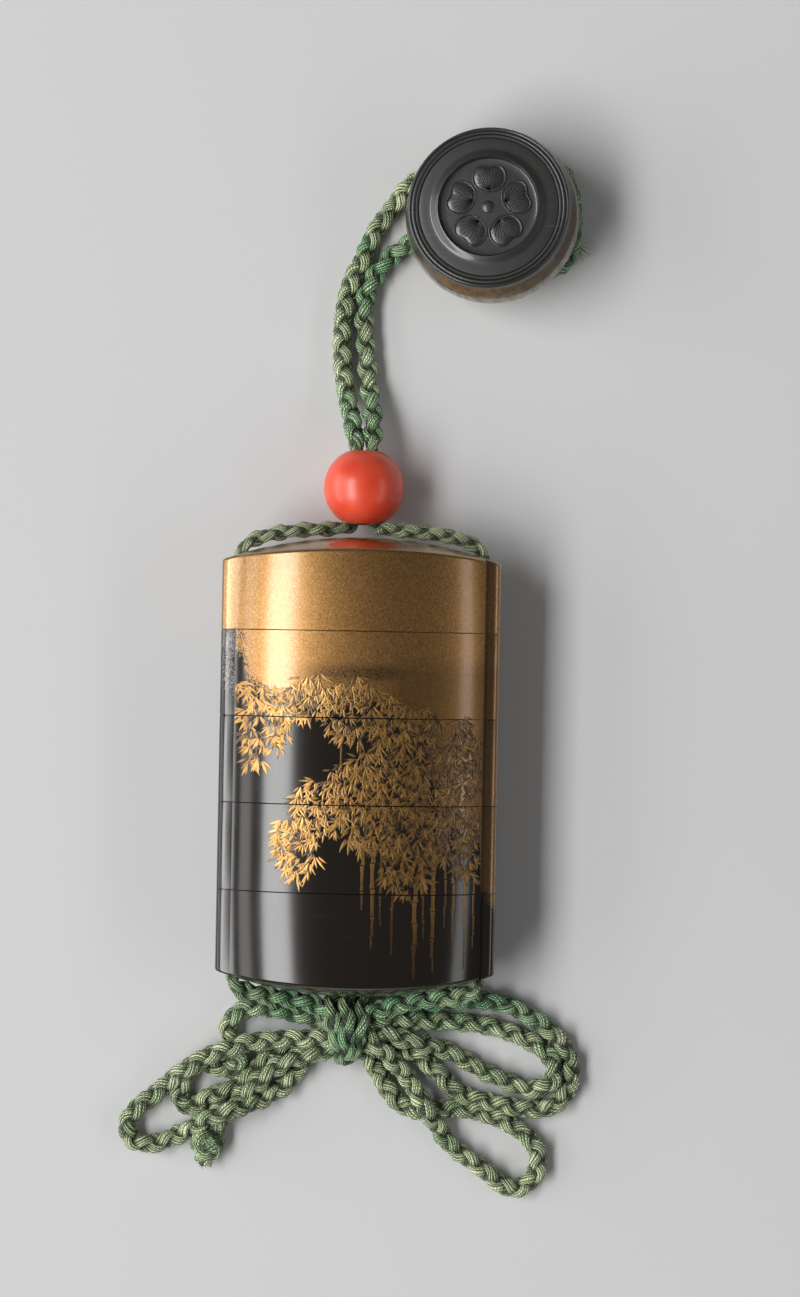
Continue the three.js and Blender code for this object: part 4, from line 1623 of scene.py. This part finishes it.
@dataclass(frozen=True)
class Bough:
    """One cloud of bamboo leaves: its middle, half sizes, lean in degrees, tone and thickness."""

    x: float
    y: float
    wide: float
    tall: float
    aim: float
    tone: float
    thick: float = 1.0


@dataclass(frozen=True)
class Cane:
    """One bamboo cane: its place across the case, its top, foot and width, and its tone."""

    x: float
    top: float
    foot: float
    width: float
    tone: float


@dataclass(frozen=True)
class Sprig:
    """One leaf spray in its place: its layer, place, lean in radians, tone, size and leaves."""

    under: bool
    x: float
    y: float
    lean: float
    tone: float
    grown: float
    spray: bpy.types.Mesh


@dataclass
class BambooPainting:
    """A generic bamboo grove in raised gold: leaf clouds above a row of jointed canes."""

    case: LacquerCase
    seed: int = 5
    lift: float = 0.05
    leaf_length: float = 2.7
    leaf_width: float = 0.5
    spray_count: int = 14
    cane_share: float = 0.72
    cane_tone: float = 0.56
    under_tone: float = 0.12
    foot: float = -60.0
    seam_room: float = 0.12
    boughs: tuple[Bough, ...] = (
        Bough(-20.4, 6.2, 2.2, 6.8, -100, 0.75), Bough(-15.6, 7.6, 2.4, 4.6, -85, 0.95),
        Bough(-22.6, 14.6, 2.0, 2.2, -105, 0.8), Bough(-17.5, 13.0, 3.4, 2.6, -95, 0.85),
        Bough(-9.5, 13.6, 5.4, 4.2, -100, 0.75), Bough(-1.5, 11.4, 5.8, 6.0, -95, 0.6),
        Bough(5.5, 9.6, 4.0, 5.0, -100, 0.62), Bough(11.5, 7.8, 4.6, 4.4, -95, 0.5),
        Bough(-11.4, -15.6, 4.6, 6.2, -118, 0.88), Bough(-7.6, -8.8, 5.6, 5.4, -115, 0.8),
        Bough(-0.5, -5.2, 6.2, 6.4, -108, 0.7), Bough(6.4, -2.0, 6.2, 7.2, -100, 0.6),
        Bough(13.0, -2.2, 5.6, 7.6, -95, 0.5), Bough(2.6, -11.4, 5.2, 4.6, -100, 0.62),
        Bough(10.2, -12.2, 5.8, 6.8, -98, 0.55), Bough(9.0, -19.6, 4.2, 5.0, -98, 0.62),
        Bough(16.4, -11.6, 3.0, 6.4, -95, 0.45), Bough(20.8, 1.8, 3.2, 8.6, -92, 0.45, 0.8),
        Bough(21.2, -13.6, 2.8, 8.6, -90, 0.5, 0.75),
    )
    canes: tuple[Cane, ...] = (
        Cane(1.3, -14.0, -27.5, 0.8, 0.7), Cane(3.3, -13.0, -35.0, 0.95, 0.72),
        Cane(4.9, -14.0, -30.5, 0.6, 0.4), Cane(7.2, -18.0, -36.5, 0.6, 0.35),
        Cane(11.6, -22.0, -40.6, 1.05, 0.8), Cane(13.2, -20.0, -33.0, 0.55, 0.35),
        Cane(15.1, -15.0, -39.4, 0.95, 0.75), Cane(17.4, -16.0, -31.0, 0.5, 0.35),
        Cane(19.0, -17.0, -37.5, 0.6, 0.4), Cane(21.3, -20.0, -39.0, 0.6, 0.5),
        Cane(23.1, -20.0, -35.0, 0.5, 0.4), Cane(-3.2, 4.6, -3.5, 0.5, 0.4),
        Cane(0.6, 6.0, -2.0, 0.5, 0.45), Cane(4.0, 5.2, 1.0, 0.45, 0.4),
    )

    def _leaf_spray(self, draw: random.Random) -> bpy.types.Mesh:
        """A fan of slim pointed leaves that hang from one joint, flat on the ground plane.

        Args:
            draw: the source of chance.

        Returns:
            The spray's mesh, with a tone for each point.
        """
        shape = bmesh.new()
        layer = shape.verts.layers.float.new("tone")
        count = draw.choice((4, 5, 6, 7))
        spread = draw.uniform(75, 130)
        for index in range(count):
            share = index / (count - 1) - 0.5
            angle = math.radians(-90 + share * spread + draw.uniform(-6, 6))
            length = self.leaf_length * draw.uniform(0.6, 1.15) * (1 - 0.25 * abs(share))
            width = self.leaf_width * draw.uniform(0.8, 1.15)
            heel = Vector((draw.uniform(-0.45, 0.45), draw.uniform(-0.5, 0.3), 0.0))
            turn = Matrix.Rotation(angle, 4, "Z")
            shade = draw.uniform(-0.28, 0.2)
            made = bmesh.ops.create_circle(shape, cap_ends=True, segments=10, radius=1.0)
            for vert in made["verts"]:
                along = (vert.co.x + 1) / 2
                belly = math.sin(math.pi * min(1.0, along ** 0.8)) * width / 2
                side = (vert.co.y > 0.01) - (vert.co.y < -0.01)
                vert.co = heel + turn @ Vector((0.35 + along * length, belly * side, 0.0))
                # painted shade: the leaf's outline is darker than its middle, standing in for shade where
                # leaves overlap
                vert[layer] = shade - 0.6
            blade = made["verts"][0].link_faces[0]
            blade.normal_update()
            if blade.normal.z < 0:
                blade.normal_flip()
            bmesh.ops.inset_individual(
                shape, faces=[blade], thickness=0.09, depth=0.0, use_even_offset=False,
            )
            for vert in blade.verts:
                vert.co.z = 1.0
                vert[layer] = shade
        return as_mesh("leaf_spray", shape)

    def _sow(self, sprays: Sequence[bpy.types.Mesh], draw: random.Random) -> list[Sprig]:
        """Picks a place, a lean and a tone for every spray, the dull ones first.

        Args:
            sprays: the leaf sprays to choose from.
            draw: the source of chance.

        Returns:
            The sprigs in the order that they are laid.
        """
        sprigs = []
        for under, apart, density in ((True, 1.2, 0.6), (False, 1.3, 1.1)):
            taken: list[tuple[float, float]] = []
            for bough in self.boughs:
                for _ in range(round(math.pi * bough.wide * bough.tall * density * bough.thick)):
                    angle, reach = draw.uniform(0, 2 * math.pi), math.sqrt(draw.random())
                    x = bough.x + bough.wide * reach * math.cos(angle)
                    y = bough.y + bough.tall * reach * math.sin(angle) + 1.0
                    if any(abs(x - px) < apart and math.hypot(x - px, y - py) < apart for px, py in taken):
                        continue
                    if under and reach > 0.9:
                        continue
                    taken.append((x, y))
                    tone = self.under_tone if under else bough.tone - 0.008 * max(0.0, x)
                    tone += draw.uniform(-0.1, 0.1)
                    lean = math.radians(bough.aim + 90 + draw.uniform(-38, 38))
                    at_edge = reach > 0.85 and not under
                    grown = draw.uniform(1.1, 1.3) if at_edge else draw.uniform(0.85, 1.05)
                    sprigs.append(Sprig(under, x, y, lean, tone, grown, draw.choice(sprays)))
        return sprigs

    def _strew(self, shape: bmesh.types.BMesh, draw: random.Random) -> None:
        """Lays leaf sprays over every bough, each a little higher than the one before.

        Args:
            shape: the painting.
            draw: the source of chance.
        """
        sprays = [self._leaf_spray(draw) for _ in range(self.spray_count)]
        sprigs = self._sow(sprays, draw)
        layer = shape.verts.layers.float.get("tone")
        start = len(shape.verts)
        for level, sprig in enumerate(sprigs):
            shape.from_mesh(sprig.spray)
            shape.verts.ensure_lookup_table()
            turn = Matrix.Rotation(sprig.lean, 4, "Z") @ Matrix.Scale(sprig.grown, 4)
            place = Matrix.Translation((sprig.x, sprig.y, 0)) @ turn
            height = (0.25 if sprig.under else 0.6) + 0.4 * level / len(sprigs)
            for index in range(start, len(shape.verts)):
                vert = shape.verts[index]
                raised = vert.co.z
                vert.co = place @ Vector((vert.co.x, vert.co.y, 0.0))
                vert.co.z = self.lift * (height + 0.5 * raised)
                vert[layer] = min(1.0, max(0.0, vert[layer] + sprig.tone))
            start = len(shape.verts)
        for spray in sprays:
            bpy.data.meshes.remove(spray)

    def _cane(self, shape: bmesh.types.BMesh, cane: Cane, draw: random.Random) -> None:
        """One cane from top to foot, in joints, fading out downwards.

        Args:
            shape: the painting.
            cane: the cane.
            draw: the source of chance.
        """
        layer = shape.verts.layers.float.get("tone")
        whole = cane.top - cane.foot
        y = cane.top
        while y > cane.foot + 0.6:
            length = min(draw.uniform(3.8, 5.4), y - cane.foot)
            made = bmesh.ops.create_grid(shape, x_segments=2, y_segments=4, size=0.5)
            fade = max(0.0, (y - cane.foot) / whole)
            for vert in made["verts"]:
                across, along = vert.co.x, vert.co.y + 0.5
                flare = 1.0 + 0.45 * max(0.0, abs(along - 0.5) * 2 - 0.8) / 0.2
                here = fade - (1 - along) * length / whole
                wide = cane.width * flare * (0.45 + 0.55 * min(1.0, max(0.0, here * 2.5)))
                vert.co = (
                    cane.x + across * self.cane_share * wide + 0.1 * math.sin(y * 0.8),
                    y - (1 - along) * length * 0.965,
                    self.lift * (0.9 if abs(across) < 0.1 else 0.3),
                )
                vert[layer] = self.cane_tone * cane.tone * min(1.0, 0.06 + max(0.0, here) * 1.4)
            y -= length

    def build(self, gold: bpy.types.Material) -> list[bpy.types.Object]:
        """Lays the painting on the case, cut at the seams.

        Args:
            gold: the raised gold's material.

        Returns:
            One piece of painting for each section that carries some.
        """
        draw = random.Random(self.seed)
        whole = bmesh.new()
        whole.verts.layers.float.new("tone")
        for cane in self.canes:
            self._cane(whole, cane, draw)
        self._strew(whole, draw)
        edge = self.case.face_half_width - 0.15
        for side in (-1, 1):
            self._trim(whole, Vector((side * edge, 0, 0)), Vector((side, 0, 0)))
        template = as_mesh("grove", whole)
        pieces = []
        limits = [*self.case.seams, self.foot]
        for index, (upper, lower) in enumerate(zip(limits, limits[1:])):
            part = bmesh.new()
            part.from_mesh(template)
            self._trim(part, Vector((0, upper - self.seam_room, 0)), Vector((0, 1, 0)))
            self._trim(part, Vector((0, lower + self.seam_room, 0)), Vector((0, -1, 0)))
            for vert in part.verts:
                vert.co.z += self.case.face_height(vert.co.x)
            piece = finish_bmesh(f"tray_{index + 1}_gold_leaves", part, 60)
            dress(piece, "gold_lacquer", gold)
            pieces.append(piece)
        bpy.data.meshes.remove(template)
        return pieces

    @staticmethod
    def _trim(shape: bmesh.types.BMesh, point: Vector, outward: Vector) -> None:
        """Cuts away everything past a plane."""
        everything = [*shape.verts, *shape.edges, *shape.faces]
        bmesh.ops.bisect_plane(shape, geom=everything, plane_co=point, plane_no=outward, clear_outer=True)


# ---- bead and toggle ----


def spun(
    name: str, profile: Sequence[tuple[float, float]], steps: int, place: Matrix, sharp: float,
) -> bpy.types.Object:
    """Spins a closed or axis-to-axis profile about Z and puts it in place.

    Args:
        name: the object's name.
        profile: radius and height pairs; a closed one repeats its first pair at the end.
        steps: how many steps the full turn has.
        place: the move from the profile's own frame to the row's.
        sharp: edges that turn more than this many degrees stay sharp.

    Returns:
        The object.
    """
    shape = bmesh.new()
    points = [Vector((radius, 0.0, height)) for radius, height in profile]
    made = bmesh.ops.create_circle(shape, cap_ends=False, segments=len(points), radius=1.0)
    for vert, point in zip(made["verts"], points):
        vert.co = point
    closing = next(
        edge for edge in made["verts"][-1].link_edges
        if edge.other_vert(made["verts"][-1]) is made["verts"][0]
    )
    if profile[0] != profile[-1] and profile[0][0] == 0.0:
        shape.edges.remove(closing)
    bmesh.ops.spin(
        shape, geom=[*shape.verts, *shape.edges], cent=(0, 0, 0), axis=(0, 0, 1),
        angle=2 * math.pi, steps=steps, use_merge=True,
    )
    bmesh.ops.remove_doubles(shape, verts=shape.verts, dist=1e-4)
    bmesh.ops.recalc_face_normals(shape, faces=shape.faces)
    shape.transform(place)
    return finish_bmesh(name, shape, sharp)


@dataclass
class SlideBead:
    """The pierced coral ball that slides on the doubled cord."""

    radius: float = 8.0
    y: float = 55.4
    hole: float = 3.1
    flat: float = 0.06
    soften: float = 0.08
    arc_steps: int = 48

    def build(self, coral: bpy.types.Material) -> bpy.types.Object:
        """Builds the bead in place of its solid.

        Args:
            coral: the bead's material.

        Returns:
            The bead.
        """
        rim = math.asin(self.hole / self.radius)
        start = rim + self.soften
        profile = []
        for index in range(self.arc_steps + 1):
            angle = start + (math.pi - 2 * start) * index / self.arc_steps
            profile.append((self.radius * math.sin(angle), self.radius * math.cos(angle)))
        lip = self.radius * math.cos(rim)
        wide = self.hole + 0.12
        bore = [(wide, -lip + 0.08), (self.hole, -lip + 0.4), (self.hole, lip - 0.4), (wide, lip - 0.08)]
        along_y = Matrix.Rotation(-math.pi / 2, 4, "X")
        place = Matrix.Translation((0, self.y, self.radius - self.flat)) @ along_y
        bead = spun("coral_bead", profile + bore, 96, place, 40)
        for vert in bead.data.vertices:
            vert.co.z = max(vert.co.z, 0.0)
        dress(bead, "coral", coral)
        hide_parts("ojime_bead")
        return bead


@dataclass
class HornToggle:
    """The round netsuke: a carved upper half with a rolled rim on a bowl-shaped lower half."""

    centre: tuple[float, float] = (23.5, 110.6)
    tilt: float = 8.5
    lean: float = 146.0
    radius: float = 17.4
    belly: float = 9.0
    depth: float = 16.0
    base: float = 9.0
    wall: float = 2.0
    leaves: int = 5
    steps: int = 144
    bowl_steps: int = 24

    def place(self) -> Matrix:
        """The move from the toggle's own frame, with its face at z = 0, to where it lies.

        Returns:
            The move.
        """
        tilt, lean = math.radians(self.tilt), math.radians(self.lean)
        axis = Vector((-math.sin(lean), math.cos(lean), 0.0))
        wide = (self.radius - self.base) * math.sin(tilt)
        tall = (self.depth - self.belly) * math.cos(tilt)
        height = self.belly * math.cos(tilt) + self.base * math.sin(tilt) + math.hypot(wide, tall)
        return Matrix.Translation((*self.centre, height)) @ Matrix.Rotation(tilt, 4, axis)

    def _upper_profile(self) -> list[tuple[float, float]]:
        """Radius and height of the upper half, from the middle out, down and back inside.

        Returns:
            The pairs.
        """
        outside = [
            (0.0, 0.1), (3.0, 0.08), (6.0, 0.0), (8.2, -0.1), (9.3, -0.16), (9.6, -0.08), (9.75, 0.2),
            (9.85, 0.6), (10.0, 0.74), (10.2, 0.7), (10.8, 0.36), (11.3, 0.1), (11.6, 0.05), (12.4, 0.02),
            (13.2, -0.04), (13.68, -0.1), (13.82, -0.32), (13.96, -0.1), (14.24, -0.05), (14.38, -0.07),
            (14.52, -0.32), (14.66, -0.06), (14.85, 0.03), (15.05, 0.0), (15.2, -0.12), (15.32, -0.34),
            (15.46, -0.2), (15.62, -0.14), (15.82, -0.22), (15.98, -0.42), (16.06, -0.7), (16.08, -1.0),
            (16.38, -2.2), (16.66, -3.4), (16.86, -4.6), (17.0, -5.6), (16.92, -5.9),
        ]
        inside = [(15.0, -5.92), (14.4, -3.2), (13.0, -2.0), (0.0, -2.0)]
        return outside + inside

    def _lower_profile(self) -> list[tuple[float, float]]:
        """Radius and height of the lower half, closed on the axis.

        Returns:
            The pairs.
        """
        outside = [(15.0, -6.0), (16.86, -5.98), (17.0, -6.1), (17.15, -6.7), (17.28, -7.4), (17.36, -8.2)]
        inside = []
        wide, tall = self.radius - self.base, self.depth - self.belly
        for index in range(self.bowl_steps + 1):
            angle = math.pi / 2 * index / self.bowl_steps
            outside.append((self.base + wide * math.cos(angle), -self.belly - tall * math.sin(angle)))
            inside.append((
                self.base + (wide - self.wall) * math.cos(angle),
                -self.belly - (tall - self.wall) * math.sin(angle),
            ))
        return [(0.0, -self.depth + self.wall), *reversed(inside), *outside, (0.0, -self.depth)]

    def _medallion(self, place: Matrix) -> bpy.types.Object:
        """A generic rosette of five rounded leaves, each with a rim and fanned veins.

        Args:
            place: the move from the toggle's own frame.

        Returns:
            The rosette.
        """
        shape = bmesh.new()
        for index in range(self.leaves):
            turn = Matrix.Rotation(math.pi / 2 + 2 * math.pi * index / self.leaves, 4, "Z")
            self._leaf(shape, turn)
        bmesh.ops.create_uvsphere(
            shape, u_segments=24, v_segments=12, radius=1.0,
            matrix=Matrix.Diagonal((1.3, 1.3, 0.45, 1)),
        )
        shape.transform(place)
        return finish_bmesh("toggle_rosette", shape, 50)

    @staticmethod
    def _leaf(shape: bmesh.types.BMesh, turn: Matrix) -> None:
        """One leaf: a raised rim round a sunk blade with a swelling middle and fanned veins.

        Args:
            shape: the rosette.
            turn: the leaf's turn about the middle.
        """
        count, heart, half_width = 44, 5.6, 3.4
        outline = []
        for index in range(count):
            angle = 2 * math.pi * index / count
            notch = 0.9 * max(0.0, math.cos(angle)) ** 10
            reach = 3.35 - notch - 0.55 * max(0.0, -math.cos(angle)) ** 2
            side = half_width * math.sin(angle) * (1 + 0.12 * math.cos(angle))
            outline.append((heart + reach * math.cos(angle), side))

        def ring(share: float, height: float) -> list[Triple]:
            """The outline shrunk to a share of its size, at a height."""
            return [(heart + (x - heart) * share, y * share, height) for x, y in outline]

        loft = Loft(ring(1.0, -0.3))
        loft.cap()
        steps = (
            (1.0, 0.16), (0.98, 0.27), (0.95, 0.3), (0.92, 0.25), (0.89, 0.08), (0.86, 0.0), (0.83, 0.04),
            (0.6, 0.13), (0.35, 0.2), (0.15, 0.23),
        )
        for share, height in steps:
            loft.to(ring(share, height))
        blade = loft.close_at((heart, 0.0, 0.24)).finish()
        blade.transform(turn)
        part = as_mesh("blade", blade)
        shape.from_mesh(part)
        bpy.data.meshes.remove(part)
        for index in range(-6, 7):
            reach = 4.4 - 0.055 * index * index
            fan = Matrix.Translation((3.3, 0, 0.12)) @ Matrix.Rotation(0.2 * index, 4, "Z")
            vein = Matrix.Translation((reach / 2, 0, 0)) @ Matrix.Diagonal((reach / 2, 0.1, 0.27, 1))
            bmesh.ops.create_uvsphere(
                shape, u_segments=8, v_segments=6, radius=1.0, matrix=turn @ fan @ vein,
            )

    def build(self, dark: bpy.types.Material, pale: bpy.types.Material) -> list[bpy.types.Object]:
        """Builds both halves and the rosette.

        Args:
            dark: the upper half's horn.
            pale: the lower half's horn.

        Returns:
            The upper half, the lower half and the rosette.
        """
        place = self.place()
        upper = spun("toggle_upper_half", self._upper_profile(), self.steps, place, 40)
        lower = spun("toggle_lower_half", self._lower_profile(), self.steps, place, 40)
        rosette = self._medallion(place)
        dress(upper, "dark_horn", dark)
        dress(lower, "pale_horn", pale)
        dress(rosette, "dark_horn", dark)
        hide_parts("netsuke_upper")
        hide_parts("netsuke_lower")
        return [upper, lower, rosette]


# ---- studio ----


@dataclass(frozen=True)
class SoftLight:
    """One rectangular soft light aimed at the middle of the object."""

    name: str
    off_vertical: float
    bearing: float
    away: float
    wide: float
    tall: float
    radiance: float


@dataclass
class Studio:
    """A pale floor, soft side lights and a camera looking straight down."""

    camera_at: Triple = (7.78, 23.53, 640.0)
    roll: float = 1.08
    lens: float = 88.0
    ambient: float = 0.1
    target: Triple = (3.0, 10.0, 15.0)
    lights: tuple[SoftLight, ...] = (
        SoftLight("left key", 37.3, 190.0, 2000.0, 590.0, 2200.0, 10.5),
        SoftLight("left low", 62.0, 186.0, 2000.0, 440.0, 2400.0, 3.0),
        SoftLight("left side", 83.0, 184.0, 2000.0, 380.0, 2400.0, 6.0),
        SoftLight("right edge", 56.0, -10.0, 2000.0, 400.0, 2400.0, 2.4),
    )

    def camera(self) -> None:
        """Places the camera."""
        data = bpy.data.cameras.new("camera")
        data.lens = self.lens
        data.sensor_fit = "AUTO"
        data.sensor_width = 36.0
        data.clip_start = 0.01
        data.clip_end = 20.0
        eye = bpy.data.objects.new("camera", data)
        eye.location = Vector(self.camera_at) * MM
        eye.rotation_euler = (0.0, 0.0, math.radians(self.roll))
        bpy.context.scene.collection.objects.link(eye)
        bpy.context.scene.camera = eye

    def floor(self, paper: bpy.types.Material) -> None:
        """Lays the floor.

        Args:
            paper: the floor's material.
        """
        shape = bmesh.new()
        bmesh.ops.create_grid(shape, x_segments=1, y_segments=1, size=2500)
        bmesh.ops.translate(shape, verts=shape.verts, vec=(0, 0, -0.05))
        sheet = finish_bmesh("studio_floor", shape)
        sheet.data.materials.append(paper)

    def light(self) -> None:
        """Sets the soft lights and the ambient grey."""
        world = bpy.data.worlds.new("studio")
        world.use_nodes = True
        background = world.node_tree.nodes["Background"]
        background.inputs["Color"].default_value = (1.0, 1.0, 1.0, 1.0)
        background.inputs["Strength"].default_value = self.ambient
        bpy.context.scene.world = world
        aim = Vector(self.target)
        for soft in self.lights:
            data = bpy.data.lights.new(soft.name, "AREA")
            data.shape = "RECTANGLE"
            data.size = soft.wide * MM
            data.size_y = soft.tall * MM
            data.energy = soft.radiance * math.pi * data.size * data.size_y
            lamp = bpy.data.objects.new(soft.name, data)
            down, round_z = math.radians(soft.off_vertical), math.radians(soft.bearing)
            direction = Vector((
                math.sin(down) * math.cos(round_z), math.sin(down) * math.sin(round_z), math.cos(down),
            ))
            lamp.location = (aim + direction * soft.away) * MM
            wide = Vector((0.0, 1.0, 0.0)).cross(direction).normalized()
            turn = Matrix((wide, direction.cross(wide), direction)).transposed()
            lamp.rotation_euler = turn.to_euler()
            bpy.context.scene.collection.objects.link(lamp)

    def build(self, paper: bpy.types.Material) -> None:
        """Builds the whole studio."""
        self.floor(paper)
        self.light()
        bpy.context.scene.view_settings.view_transform = "Standard"


def main() -> None:
    """Builds the camera and cord, then the case, painting, bead, toggle and studio."""
    logging.basicConfig(level=logging.INFO, format="%(message)s")
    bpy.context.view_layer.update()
    effects = Effects()
    studio = Studio()
    studio.camera()
    pieces = SilkCord().build(Silk().build(effects))
    case = LacquerCase()
    finishes = [finish.build(effects) for finish in (PaintedLacquer(), PowderedInside(), WornEdge())]
    pieces += case.build(finishes)
    pieces += BambooPainting(case).build(RaisedGold().build(effects))
    pieces.append(SlideBead().build(Coral().build(effects)))
    toggle = HornToggle()
    up = toggle.place().to_3x3() @ Vector((0.0, 0.0, 1.0))
    face = up.dot(toggle.place().translation)
    horns = [Horn(tone, tuple(up), face).build(effects) for tone in (HornTone.DARK, HornTone.PALE)]
    pieces += toggle.build(*horns)
    studio.build(StudioPaper().build(effects))
    for piece in pieces:
        LOG.info("%s: %d faces", piece.name, len(piece.data.polygons))


if __name__ == "__main__":
    main()
